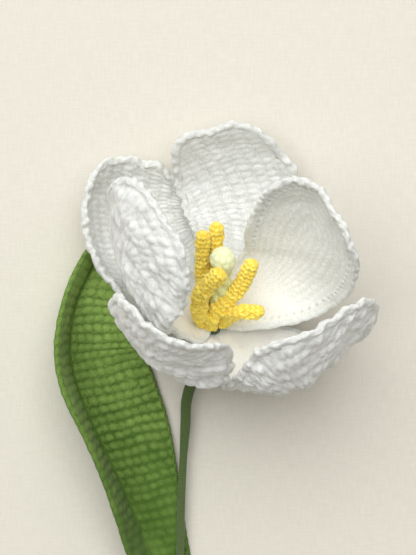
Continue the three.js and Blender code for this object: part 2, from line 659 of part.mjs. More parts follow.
// The leaf's section: an arc round the midrib with straight halves, rolled to lie on one half
class LeafShape {
  constructor() {
    this.curve = new THREE.CatmullRomCurve3(
      LEAF_MIDLINE.map((point) => new THREE.Vector3(...point)), false, 'centripetal',
    );
  }

  at(across, share) {
    const value = (key) => between(LEAF_STATIONS, key, share);
    const along = this.curve.getTangentAt(share);
    // Side points to the half that lies flat, the right one seen from above
    const side = new THREE.Vector3(0, 0, 1).cross(along).normalize();
    const up = new THREE.Vector3().crossVectors(along, side);
    const fold = radians(value('fold'));
    const roll = radians(value('roll'));
    const radius = value('foldRadius');
    const bent = Math.min(Math.abs(across), radius * fold);
    const straight = Math.abs(across) - bent;
    const angle = bent / radius;
    const sign = Math.sign(across);
    const x = sign * (radius * Math.sin(angle) + straight * Math.cos(fold));
    const y = radius * (1 - Math.cos(angle)) + straight * Math.sin(fold);
    const slope = sign * angle;
    const turned = (u, v) => [
      u * Math.cos(roll) + v * Math.sin(roll), v * Math.cos(roll) - u * Math.sin(roll),
    ];
    const [px, py] = turned(x, y);
    const [nx, ny] = turned(-Math.sin(slope), Math.cos(slope));
    return {
      place: this.curve.getPointAt(share).addScaledVector(side, px).addScaledVector(up, py),
      normal: new THREE.Vector3().addScaledVector(side, nx).addScaledVector(up, ny),
    };
  }

  halfThickness(across, share) {
    const thickness = lerp(LEAF_THICKNESS, LEAF_TAIL_THICKNESS, easeBetween(share, LEAF_THINS_FROM));
    const midrib = MIDRIB_EXTRA * (1 - easeBetween(share, MIDRIB_ENDS_FROM));
    return thickness / 2 + midrib * Math.exp(-((across / MIDRIB_WIDTH) ** 2));
  }

  blade() {
    const rings = Array.from({ length: LEAF_ROWS + 1 }, (_, row) => {
      const share = row / LEAF_ROWS;
      const halfWidth = between(LEAF_STATIONS, 'halfWidth', share);
      const relief = row % 2 ? LEAF_ROW_RELIEF * (1 - easeBetween(share, ...ROWS_FADE)) : 0;
      const point = (part, face) => {
        const across = part * (halfWidth - LEAF_THICKNESS / 2);
        const spot = this.at(across, share);
        const offset = face * (this.halfThickness(across, share) + relief);
        return spot.place.addScaledVector(spot.normal, offset);
      };
      const edge = (sign) => this.at(sign * halfWidth, share).place;
      return [
        ...LEAF_ACROSS.map((part) => point(part, 1)),
        edge(1),
        ...[...LEAF_ACROSS].reverse().map((part) => point(part, -1)),
        edge(-1),
      ];
    });
    return loft(rings);
  }

  // Square tube inside the midrib: it starts after a gap and goes past the tail by beyond
  midribTube(radius, gap, beyond) {
    const count = LEAF_ROWS + 1 - LEAF_WIRE_FIRST_ROW;
    const rings = Array.from({ length: count }, (_, i) => {
      const row = LEAF_WIRE_FIRST_ROW + i;
      const share = row / LEAF_ROWS;
      const spot = this.at(0, share);
      const along = this.curve.getTangentAt(share);
      const side = new THREE.Vector3().crossVectors(spot.normal, along).normalize();
      const ends = new Map([[LEAF_WIRE_FIRST_ROW, gap], [LEAF_ROWS, beyond]]);
      const reach = ends.get(row) ?? 0;
      return Array.from({ length: EDGE_WIRE_SIDES }, (__, k) => {
        const angle = ((k + 0.5) / EDGE_WIRE_SIDES) * 2 * Math.PI;
        return spot.place.clone()
          .addScaledVector(along, reach)
          .addScaledVector(side, radius * Math.cos(angle))
          .addScaledVector(spot.normal, radius * Math.sin(angle));
      });
    });
    return loft(rings);
  }
}

function addLeaf(ground) {
  ground.updateWorldMatrix(true, false);
  const leaf = new LeafShape();
  const tunnel = leaf.midribTube(EDGE_TUNNEL_RADIUS, 0, WIRE_MOUTH_BEYOND);
  const blade = toSolid(leaf.blade()).subtract(toSolid(tunnel));
  ground.add(named('leaf', toGeometry(restOnSurface(blade, ground.matrixWorld)), LEAF_GREEN));
  const wire = leaf.midribTube(EDGE_WIRE_RADIUS, WIRE_SHORT_OF_TAIL, -WIRE_SHORT_OF_TAIL);
  ground.add(named('leaf_wire', wire, STEEL));
}

function addTie(ground) {
  const outer = TIE_INNER_RADIUS + TIE_WALL;
  const bulge = TIE_WALL * TIE_BULGE;
  const half = TIE_LENGTH / 2;
  const profile = [
    [TIE_INNER_RADIUS, -half], [outer - bulge, -half], [outer, -half * TIE_FULL_SHARE],
    [outer, half * TIE_FULL_SHARE], [outer - bulge, half], [TIE_INNER_RADIUS, half],
    [TIE_INNER_RADIUS, -half],
  ];
  const geometry = new THREE.LatheGeometry(profile.map(([x, y]) => new THREE.Vector2(x, y)), TIE_SIDES);
  const mesh = named('leaf_tie', toGeometry(toSolid(geometry)), STEM_GREEN);
  mesh.position.set(...TIE_CENTRE);
  ground.add(mesh);
}

const tulip = new THREE.Group();
const head = new THREE.Group();
const { right, rear, out } = flowerAxes();
head.quaternion.setFromRotationMatrix(new THREE.Matrix4().makeBasis(right, rear, out));
head.position.copy(RECEPTACLE);
const ground = new THREE.Group();
ground.position.set(RECEPTACLE.x, RECEPTACLE.y, 0);
tulip.add(head, ground);

addPetals(head);
addStamens(head);
addPistil(head);
addStem(ground);
addLeaf(ground);
addTie(ground);

export default tulip;
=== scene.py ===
"""Looks of a crocheted tulip that lies on its side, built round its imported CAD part.

Sizes in the classes are millimetres, and meshes are metres. The flower's own axes are right,
rear (to the back of the cup) and out (out of the cup). A petal's or the leaf's flat coordinates
are across and along, as it would lie if it were pressed flat.
"""

import logging
import math
from dataclasses import dataclass, field
from enum import Enum

import bpy
import numpy as np
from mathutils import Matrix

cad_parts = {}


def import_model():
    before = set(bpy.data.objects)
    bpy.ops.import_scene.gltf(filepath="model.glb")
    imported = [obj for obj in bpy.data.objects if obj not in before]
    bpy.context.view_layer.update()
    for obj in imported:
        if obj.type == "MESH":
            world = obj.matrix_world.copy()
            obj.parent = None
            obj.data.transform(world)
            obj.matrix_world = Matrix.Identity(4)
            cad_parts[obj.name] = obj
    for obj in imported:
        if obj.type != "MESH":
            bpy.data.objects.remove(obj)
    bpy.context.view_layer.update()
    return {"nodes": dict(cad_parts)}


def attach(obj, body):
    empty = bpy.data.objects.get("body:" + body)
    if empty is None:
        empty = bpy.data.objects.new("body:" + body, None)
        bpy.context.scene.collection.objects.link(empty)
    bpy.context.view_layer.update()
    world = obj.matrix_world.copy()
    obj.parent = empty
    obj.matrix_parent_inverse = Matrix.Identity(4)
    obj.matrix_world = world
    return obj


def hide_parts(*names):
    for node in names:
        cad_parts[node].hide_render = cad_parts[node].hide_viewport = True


LOG = logging.getLogger("tulip")
MM = 0.001

Array = np.ndarray
Colour = tuple[float, float, float]
Point = tuple[float, float, float]


# ---------------------------------------------------------------------------- arithmetic


def smooth(x: Array) -> Array:
    """Eases from 0 to 1 as x goes from 0 to 1: x squared times (3 - 2x)."""
    t = np.clip(x, 0.0, 1.0)
    return t * t * (3.0 - 2.0 * t)


def ease(x: Array, start: float, end: float = 1.0) -> Array:
    """Eases from 0 to 1 as x goes from start to end."""
    return smooth((np.asarray(x) - start) / (end - start))


def lerp(low: float | Array, high: float | Array, share: float | Array) -> Array:
    """The value at a share of the way from low to high."""
    return low + (high - low) * share


def unit(vectors: Array) -> Array:
    """The vectors of the last axis, each with length 1."""
    return vectors / np.linalg.norm(vectors, axis=-1, keepdims=True)


def columns(values: Array) -> Array:
    """A last axis of length 1, so that numbers scale vectors."""
    return np.asarray(values)[..., None]


def scatter(index: Array, seed: float) -> Array:
    """A random-looking number from 0 to 1 for each index: the fraction of a large sine."""
    value = np.sin(index * 12.9898 + seed * 78.233) * 43758.5453
    return value - np.floor(value)


def ring_angles(count: int) -> Array:
    """Angles of a ring's points, evenly spread from 0 round the whole turn."""
    return np.linspace(0.0, 2.0 * math.pi, count, endpoint=False)


def angle_round(angle: Array) -> Array:
    """A coordinate that goes to and fro round a cord, so that it closes without a seam."""
    return np.cos(angle) + 0.6 * np.sin(angle)


@dataclass(frozen=True)
class Wobble:
    """Uneven handwork: a sum of plane waves with random directions and phases.

    Height = size / sqrt(waves) times the sum of sin(2 pi (x cos a + y sin a) / length + phase).
    """

    seed: int
    size: float
    length: float
    waves: int = 7

    def at(self, x: Array, y: Array) -> Array:
        """Height over flat coordinates in mm.

        Args:
            x: coordinate across the piece.
            y: coordinate along the piece.

        Returns:
            The height in mm, mostly within plus or minus the size.
        """
        rng = np.random.default_rng(self.seed)
        angle = rng.uniform(0.0, 2.0 * math.pi, self.waves)
        phase = rng.uniform(0.0, 2.0 * math.pi, self.waves)
        length = self.length * rng.uniform(0.7, 1.5, self.waves)
        total = np.zeros(np.broadcast(x, y).shape)
        for a, p, l in zip(angle, phase, length):
            total += np.sin(2.0 * math.pi * (x * math.cos(a) + y * math.sin(a)) / l + p)
        return total * self.size / math.sqrt(self.waves)


class Route:
    """A smooth line through points, read by the distance along it.

    Between two points it is the cubic whose end slopes come from the neighbours, with knots
    spaced by the square root of the chord: a centripetal Catmull-Rom spline.
    """

    STEPS = 60
    REACH = 0.25

    def __init__(self, points: list[Point]) -> None:
        """Works out the line.

        Args:
            points: the points that it passes through, in mm.
        """
        p = np.array(points, float)
        p = np.vstack([2.0 * p[0] - p[1], p, 2.0 * p[-1] - p[-2]])
        knot = np.sqrt(np.linalg.norm(np.diff(p, axis=0), axis=1))[:, None]
        t = np.linspace(0.0, 1.0, self.STEPS, endpoint=False)[:, None]
        pieces = []
        for i in range(1, len(p) - 2):
            d0, d1, d2 = knot[i - 1], knot[i], knot[i + 1]
            a, b, c, d = p[i - 1], p[i], p[i + 1], p[i + 2]
            leave = ((b - a) / d0 - (c - a) / (d0 + d1) + (c - b) / d1) * d1
            arrive = ((c - b) / d1 - (d - b) / (d1 + d2) + (d - c) / d2) * d1
            pieces.append(
                b
                + leave * t
                + (3.0 * (c - b) - 2.0 * leave - arrive) * t**2
                + (2.0 * (b - c) + leave + arrive) * t**3
            )
        self.line = np.vstack(pieces + [p[-2][None]])
        steps = np.linalg.norm(np.diff(self.line, axis=0), axis=1)
        self.distance = np.concatenate([[0.0], np.cumsum(steps)])
        self.length = float(self.distance[-1])

    def at(self, distance: Array) -> Array:
        """Points at distances along the line, in mm."""
        return np.stack(
            [np.interp(distance, self.distance, self.line[:, k]) for k in range(3)], axis=-1
        )

    def heading(self, distance: Array) -> Array:
        """Unit tangents at distances along the line."""
        ahead = np.minimum(np.asarray(distance) + self.REACH, self.length)
        behind = np.maximum(np.asarray(distance) - self.REACH, 0.0)
        return unit(self.at(ahead) - self.at(behind))


def rings_round(centre: Array, side: Array, over: Array, across: Array, up: Array) -> Array:
    """Rings round a line: each centre, plus across times side, plus up times over.

    Args:
        centre: the line's points (rings, 3).
        side: unit directions square to the line (rings, 3).
        over: unit directions square to both (rings, 3).
        across: distances along side (rings, around).
        up: distances along over (rings, around).

    Returns:
        Points (rings, around, 3).
    """
    rings = centre[:, None] + columns(across) * side[:, None]
    return rings + columns(up) * over[:, None]


# ---------------------------------------------------------------------------- meshes


class Cap(Enum):
    """How a skin's first and last rings are closed."""

    FAN = "triangles round the ring's middle"
    ZIP = "the ring's two sides joined across"
    RING = "the last ring joined to the first"


@dataclass
class Skin:
    """A closed skin over rings of points.

    Attributes:
        name: the piece's name.
        rings: points in world mm, as (rings, around, 3).
        cap: how the ends are closed.
        marks: numbers for the material, each as (rings, around).
        floor: lowest height in mm, below which the yarn is pressed flat.
    """

    name: str
    rings: Array
    cap: Cap
    marks: dict[str, Array] = field(default_factory=dict)
    floor: float = 0.02

    def _sides(self) -> Array:
        """Quads between neighbouring rings, as (quads, 4)."""
        count, around = self.rings.shape[:2]
        last = count if self.cap is Cap.RING else count - 1
        row = np.repeat(np.arange(last), around)
        col = np.tile(np.arange(around), last)
        up, next_col = (row + 1) % count, (col + 1) % around
        return np.stack(
            [row * around + col, row * around + next_col,
             up * around + next_col, up * around + col], axis=1,
        )

    def _zipped(self, ring: int, flip: bool) -> tuple[Array, Array]:
        """Quads and triangles that join a flat ring's two sides.

        Args:
            ring: which ring.
            flip: whether the faces turn the other way.

        Returns:
            Quads (n, 4) and triangles (2, 3).
        """
        around = self.rings.shape[1]
        half = around // 2
        i = np.arange(1, half - 1)
        quads = np.stack([i, i + 1, around - i - 1, around - i], axis=1) + ring * around
        ends = np.array([[0, 1, around - 1], [half, half + 1, half - 1]]) + ring * around
        return (quads[:, ::-1], ends[:, ::-1]) if flip else (quads, ends)

    def build(self) -> bpy.types.Object:
        """Puts the skin into a mesh object with outward faces and smooth shading."""
        points = self.rings.reshape(-1, 3)
        quads, threes = [self._sides()], []
        last, around = len(self.rings) - 1, self.rings.shape[1]
        if self.cap is Cap.FAN:
            middles = self.rings[[0, -1]].mean(axis=1)
            i = np.arange(around)
            for end, ring in enumerate((0, last)):
                hub = np.full(around, len(points) + end)
                fan = np.stack([i + ring * around, (i + 1) % around + ring * around, hub], axis=1)
                threes.append(fan if end else fan[:, ::-1])
            points = np.vstack([points, middles])
        elif self.cap is Cap.ZIP:
            for ring, flip in ((0, True), (last, False)):
                more, ends = self._zipped(ring, flip)
                quads.append(more)
                threes.append(ends)
        quads = np.vstack(quads)
        threes = np.vstack(threes) if threes else np.zeros((0, 3), int)
        points = points.copy()
        points[:, 2] = np.maximum(points[:, 2], self.floor)
        return self._to_object(points, quads, threes)

    def _to_object(self, points: Array, quads: Array, threes: Array) -> bpy.types.Object:
        """Makes the object from arrays.

        Args:
            points: (n, 3) in mm.
            quads: (n, 4) indices.
            threes: (n, 3) indices.

        Returns:
            The object, linked to the scene.
        """
        a, b, c, d = (points[quads[:, k]] for k in range(4))
        volume = np.einsum("ij,ij->", a, np.cross(b, c)) + np.einsum("ij,ij->", a, np.cross(c, d))
        a, b, c = (points[threes[:, k]] for k in range(3))
        volume += np.einsum("ij,ij->", a, np.cross(b, c))
        if volume < 0.0:
            quads, threes = quads[:, ::-1], threes[:, ::-1]
        mesh = bpy.data.meshes.new(self.name)
        mesh.vertices.add(len(points))
        mesh.vertices.foreach_set("co", (points * MM).astype(np.float32).ravel())
        loops = np.concatenate([quads.ravel(), threes.ravel()]).astype(np.int32)
        mesh.loops.add(len(loops))
        mesh.loops.foreach_set("vertex_index", loops)
        starts = np.concatenate(
            [np.arange(len(quads)) * 4, quads.size + np.arange(len(threes)) * 3]
        ).astype(np.int32)
        mesh.polygons.add(len(starts))
        mesh.polygons.foreach_set("loop_start", starts)
        mesh.update(calc_edges=True)
        mesh.polygons.foreach_set("use_smooth", np.ones(len(starts), bool))
        for mark, values in self.marks.items():
            flat = np.zeros(len(points), np.float32)
            flat[: values.size] = values.ravel()
            mesh.attributes.new(mark, "FLOAT", "POINT").data.foreach_set("value", flat)
        if mesh.validate():
            LOG.warning("%s had faulty faces", self.name)
        obj = bpy.data.objects.new(self.name, mesh)
        bpy.context.scene.collection.objects.link(obj)
        return obj


# ---------------------------------------------------------------------------- stitches


@dataclass(frozen=True)
class Strand:
    """One visible loop of yarn in a stitch: half an ellipsoid that lies on the fabric.

    Attributes:
        u: middle along the round, in stitches.
        v: middle across the round, from 0 to 1.
        turn: degrees that its long axis turns from the round's direction.
        long: half its length in mm.
        wide: half its width in mm.
        high: its height against the tallest strand.
    """

    u: float
    v: float
    turn: float
    long: float
    wide: float
    high: float = 1.0


@dataclass(frozen=True)
class Stitch:
    """A repeat of strands, with its pitch along and across the round in mm.

    Soft is the power of the strands' section: a half ellipse at 0.5, flatter at its edges above.
    """

    along: float
    across: float
    strands: tuple[Strand, ...]
    soft: float = 0.5

    # Steps that keep the random numbers of rounds and of strands apart
    ROW_STEP = 57.0
    STRAND_STEP = 7.0
    # How far uneven work moves a strand in stitches, tilts it in radians and lowers it
    ASIDE = 0.3
    AHEAD = 0.2
    TILT = 0.6
    LOWER = 0.55

    def relief(self, u: Array, v: Array, row: Array, count: Array, uneven: float) -> Array:
        """Height from 0 to 1 at stitch coordinates.

        Height = the tallest strand's high times (1 - (a/long)^2 - (b/wide)^2)^soft, where a and
        b are the distances along and across the strand, also of the stitches on either side.
        Each stitch is lower, and lies a little off its place, by its own random share.

        Args:
            u: stitches along the round.
            v: share of the way across the round, from 0 to 1.
            row: number of the round.
            count: stitches in the round, after which they repeat.
            uneven: how uneven the handwork is, from 0 to 1.

        Returns:
            The height, 0 between strands.
        """
        height = np.zeros(np.broadcast(u, v).shape)
        part = u - np.floor(u)
        for number, strand in enumerate(self.strands):
            turn = math.radians(strand.turn)
            for shift in (-1.0, 0.0, 1.0):
                cell = np.mod(np.floor(u) - shift, count) + self.ROW_STEP * row
                cell = cell + self.STRAND_STEP * number
                aside, ahead, lower, tilt = (
                    uneven * (scatter(cell, seed) - 0.5) for seed in (1.0, 2.0, 3.0, 4.0)
                )
                x = (part - strand.u + shift + self.ASIDE * aside) * self.along
                y = (v - strand.v + self.AHEAD * ahead) * self.across
                tilted = turn + self.TILT * tilt
                cos, sin = np.cos(tilted), np.sin(tilted)
                a = (x * cos + y * sin) / strand.long
                b = (y * cos - x * sin) / strand.wide
                high = strand.high * (1.0 - self.LOWER * (lower + 0.5 * uneven))
                inside = np.maximum(1.0 - a * a - b * b, 0.0)
                height = np.maximum(height, high * inside**self.soft)
        return height


# Tall stitches seen from their back: a post across the round, and the loop that heads it
TALL_BACK = Stitch(2.0, 4.6, (
    Strand(0.5, 0.54, 84.0, 2.1, 0.95, 0.9),
    Strand(0.1, 0.06, 12.0, 0.9, 0.65, 0.7),
))
# Short stitches seen from their back
SHORT_BACK = Stitch(2.6, 2.9, (
    Strand(0.5, 0.5, 8.0, 1.5, 1.05, 0.9),
    Strand(0.0, 0.05, 12.0, 0.9, 0.6, 0.6),
), 0.7)
# Tall stitches from their front: fat slanted legs that meet at the foot
TALL_FRONT = Stitch(3.1, 3.7, (
    Strand(0.5, 0.5, 52.0, 2.75, 1.45, 1.0),
    Strand(0.0, 0.25, 135.0, 1.4, 0.9, 0.65),
), 0.75)
# Round cords of tiny stitches: two legs of a V
CORD_STITCH = Stitch(1.8, 1.7, (
    Strand(0.25, 0.5, 58.0, 1.0, 0.52, 1.0),
    Strand(0.75, 0.5, 122.0, 1.0, 0.52, 0.9),
))
# Short stitches worked to and fro: a squarish knot with the bar below it
LEAF_STITCH = Stitch(2.95, 3.3, (
    Strand(0.5, 0.48, 14.0, 1.62, 1.5, 1.0),
    Strand(0.0, 0.9, -10.0, 1.3, 0.5, 0.5),
))


# ---------------------------------------------------------------------------- shading


class Value:
    """What flows out of a node's socket, with arithmetic for numbers."""

    def __init__(self, graph: "Graph", socket: bpy.types.NodeSocket) -> None:
        """Wraps a socket of the graph."""
        self.graph = graph
        self.socket = socket

    def _math(self, operation: str, left: "Value | float", right: "Value | float") -> "Value":
        """One Math node."""
        return self.graph.node("ShaderNodeMath", {"operation": operation}, {0: left, 1: right})

    def __add__(self, other: "Value | float") -> "Value":
        """Sum."""
        return self._math("ADD", self, other)

    __radd__ = __add__

    def __sub__(self, other: "Value | float") -> "Value":
        """Difference."""
        return self._math("SUBTRACT", self, other)

    def __rsub__(self, other: float) -> "Value":
        """Difference from a number."""
        return self._math("SUBTRACT", other, self)

    def __mul__(self, other: "Value | float") -> "Value":
        """Product."""
        return self._math("MULTIPLY", self, other)

    __rmul__ = __mul__


class Graph:
    """A material's node graph."""

    def __init__(self, name: str) -> None:
        """Starts an empty material of that name."""
        self.material = bpy.data.materials.new(name)
        self.material.use_nodes = True
        self.tree = self.material.node_tree
        self.tree.nodes.clear()

    def node(self, kind: str, settings: dict, inputs: dict, output: int | str = 0) -> Value:
        """Adds a node.

        Args:
            kind: the node's type.
            settings: its properties.
            inputs: a value or link for each named or numbered socket.
            output: which socket to return.

        Returns:
            What flows out of it.
        """
        made = self.tree.nodes.new(kind)
        for key, value in settings.items():
            setattr(made, key, value)
        for key, value in inputs.items():
            if isinstance(value, Value):
                self.tree.links.new(value.socket, made.inputs[key])
            else:
                made.inputs[key].default_value = value
        return Value(self, made.outputs[output])

    def mark(self, name: str) -> Value:
        """A number that the mesh carries."""
        settings = {"attribute_type": "GEOMETRY", "attribute_name": name}
        return self.node("ShaderNodeAttribute", settings, {}, "Fac")

    def place(self) -> Value:
        """The piece's Object coordinates, in metres."""
        return self.node("ShaderNodeTexCoord", {}, {}, "Object")

    def noise(self, size: float, detail: float = 2.0) -> Value:
        """Noise from 0 to 1 with features of about size, in mm."""
        inputs = {"Vector": self.place(), "Scale": 1.0 / (size * MM), "Detail": detail}
        return self.node("ShaderNodeTexNoise", {}, inputs, "Fac")

    def threads(self, wide: float, high: float) -> Value:
        """Noise from 0 to 1 whose features are wide across X and high along Y, in mm."""
        scale = (1.0 / (wide * MM), 1.0 / (high * MM), 0.0)
        place = self.node(
            "ShaderNodeVectorMath", {"operation": "MULTIPLY"}, {0: self.place(), 1: scale}
        )
        return self.node("ShaderNodeTexNoise", {}, {"Vector": place, "Scale": 1.0}, "Fac")

    def mix(self, share: Value | float, low: "Value | Colour", high: "Value | Colour") -> Value:
        """A colour at a share of the way from low to high."""
        ends = [c if isinstance(c, Value) else (*c, 1.0) for c in (low, high)]
        settings = {"data_type": "RGBA", "clamp_factor": True}
        return self.node("ShaderNodeMix", settings, {0: share, 6: ends[0], 7: ends[1]}, 2)

    def finish(self, surface: dict) -> bpy.types.Material:
        """Ends the graph in a Principled BSDF.

        Args:
            surface: a value or link for each of its sockets.

        Returns:
            The material.
        """
        shader = self.node("ShaderNodeBsdfPrincipled", {}, surface)
        made = self.tree.nodes.new("ShaderNodeOutputMaterial")
        self.tree.links.new(shader.socket, made.inputs["Surface"])
        return self.material


@dataclass(frozen=True)
class Yarn:
    """Matt spun yarn.

    Attributes:
        slot: the record's material slot. It is not used.
        name: the material's name.
        crest: colour on top of the stitches, where the painted light is full.
        valley: colour between them: painted shade in the hollows.
        tint_and_shade: colour towards which the mark of the same name moves it: painted shade at
            the petals' bases and along the leaf, and a change of colour on the stamens' roots and
            the pistil's stalk.
        tint_and_shade_share: how far it moves at most.
        fibre: size of the ply's unevenness in mm.
        relief: height of the ply's unevenness in mm.
        sheen: soft light off the loose fibres.
        grain: how much the ply shows in the colour.
    """

    slot: str
    name: str
    crest: Colour
    valley: Colour
    tint_and_shade: Colour
    tint_and_shade_share: float = 1.0
    fibre: float = 0.55
    relief: float = 0.25
    sheen: float = 0.25
    grain: float = 0.9

    FIBRE_DETAIL = 3.0
    NOISE_MIDDLE = 0.45
    PAINTED_LIGHT_SHARE = 0.85
    DYE_SIZE = 9.0
    DYE_SHARE = 0.5
    DARKER = 0.82
    BUMP = 0.7
    ROUGHNESS = (0.82, 0.16)
    GLOSS = 0.25
    SHEEN_ROUGHNESS = 0.6

    def material(self) -> bpy.types.Material:
        """The material, made once.

        Its colour goes from valley to crest by the painted light and the fibres, so that shade is
        painted in the hollows between the stitches. Then it goes towards the tint colour, which
        paints shade at the petals' bases and along the leaf, and then a little darker where the dye
        took unevenly.
        """
        found = bpy.data.materials.get(self.name)
        if found:
            return found
        graph = Graph(self.name)
        # Painted shade: the mark darkens the colour towards valley where the stitches are low
        painted_light = graph.mark("painted_light")
        fibre = graph.noise(self.fibre, self.FIBRE_DETAIL)
        dye = graph.noise(self.DYE_SIZE)
        depth = painted_light * self.PAINTED_LIGHT_SHARE + (fibre - self.NOISE_MIDDLE) * self.grain
        colour = graph.mix(depth, self.valley, self.crest)
        # Towards the tint colour: painted shade on the petals and the leaf
        colour = graph.mix(graph.mark("tint_and_shade") * self.tint_and_shade_share, colour, self.tint_and_shade)
        darker = tuple(self.DARKER * c for c in self.crest)
        colour = graph.mix((dye - self.NOISE_MIDDLE) * self.DYE_SHARE, colour, darker)
        inputs = {"Strength": self.BUMP, "Distance": self.relief * MM, "Height": fibre}
        least, more = self.ROUGHNESS
        return graph.finish({
            "Base Color": colour,
            "Roughness": least + fibre * more,
            "Normal": graph.node("ShaderNodeBump", {}, inputs),
            "Specular IOR Level": self.GLOSS,
            "Sheen Weight": self.sheen,
            "Sheen Roughness": self.SHEEN_ROUGHNESS,
        })

    def dress(self, piece: bpy.types.Object, *nodes: str) -> None:
        """Gives a piece this yarn, its body and the CAD nodes that it stands for."""
        piece.data.materials.append(self.material())
        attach(piece, "root")
        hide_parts(*nodes)
        LOG.info("%s: %d faces, replaces %s", piece.name, len(piece.data.polygons), nodes)


PETAL_YARN = Yarn(
    "petal_yarn", "white_petal_yarn", (0.885, 0.895, 0.885), (0.6, 0.605, 0.565),
    (0.87, 0.82, 0.71), 0.6, grain=1.5,
)
STAMEN_YARN = Yarn(
    "stamen_yarn", "golden_stamen_yarn", (1.0, 0.9, 0.2), (0.88, 0.56, 0.02),
    (0.92, 0.71, 0.06), 0.4,
)
PISTIL_YARN = Yarn(
    "pistil_yarn", "pale_pistil_yarn", (0.88, 0.9, 0.62), (0.72, 0.77, 0.4),
    (0.78, 0.8, 0.34), 0.9,
)
LEAF_YARN = Yarn(
    "leaf_yarn", "green_leaf_yarn", (0.38, 0.56, 0.135), (0.06, 0.12, 0.015),
    (0.06, 0.125, 0.014), 0.85, sheen=0.05,
)
STEM_YARN = Yarn(
    "stem_yarn", "dark_stem_yarn", (0.09, 0.14, 0.035), (0.022, 0.045, 0.008),
    (0.1, 0.16, 0.04), 0.5, 0.4, 0.08,
)


@dataclass(frozen=True)
class Wire:
    """Bright drawn floral wire."""

    colour: Colour = (0.52, 0.52, 0.53)
    scratch: float = 0.25

    NAME = "drawn_wire"
    DARKER = 0.8
    ROUGHNESS = (0.25, 0.2)

    def material(self) -> bpy.types.Material:
        """Steel whose gloss varies a little along it, made once."""
        found = bpy.data.materials.get(self.NAME)
        if found:
            return found
        graph = Graph(self.NAME)
        scratch = graph.noise(self.scratch)
        colour = graph.mix(scratch, self.colour, tuple(self.DARKER * c for c in self.colour))
        least, more = self.ROUGHNESS
        return graph.finish({
            "Base Color": colour, "Metallic": 1.0, "Roughness": least + scratch * more,
        })

    def dress(self, piece: bpy.types.Object, node: str) -> None:
        """Gives a wire this finish, its body and the CAD node that it stands for."""
        piece.data.materials.append(self.material())
        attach(piece, "root")
        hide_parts(node)
        LOG.info("%s: %d faces, replaces %s", piece.name, len(piece.data.polygons), node)

    def keep(self, nodes: dict[str, bpy.types.Object], *names: str) -> None:
        """Gives CAD nodes that stay this finish."""
        for name in names:
            nodes[name].data.materials.clear()
            nodes[name].data.materials.append(self.material())
            LOG.info("%s stays, in drawn wire", name)


WIRE = Wire()


# ---------------------------------------------------------------------------- flower head


@dataclass(frozen=True)
class Head:
    """Where the flower head sits and how it is tilted from upright."""

    receptacle: Point = (-0.12, 90.84, 21.6)
    from_vertical: float = 48.0
    lean: float = 9.0

    def axes(self) -> Array:
        """The flower's right, rear and out axes, as rows."""
        tilt, lean = math.radians(self.from_vertical), math.radians(self.lean)
        out = np.array([
            math.sin(tilt) * math.sin(lean), math.sin(tilt) * math.cos(lean), math.cos(tilt),
        ])
        rear = unit(np.array([0.0, 1.0, 0.0]) - out[1] * out)
        return np.stack([np.cross(rear, out), rear, out])

    def to_world(self, points: Array) -> Array:
        """World points of points in the flower's axes."""
        return np.asarray(points) @ self.axes() + np.array(self.receptacle)

    def over_ground(self, points: list[Point]) -> list[Point]:
        """World points of points in plan from the receptacle, with heights over the surface."""
        x, y, _ = self.receptacle
        return [(x + px, y + py, pz) for px, py, pz in points]


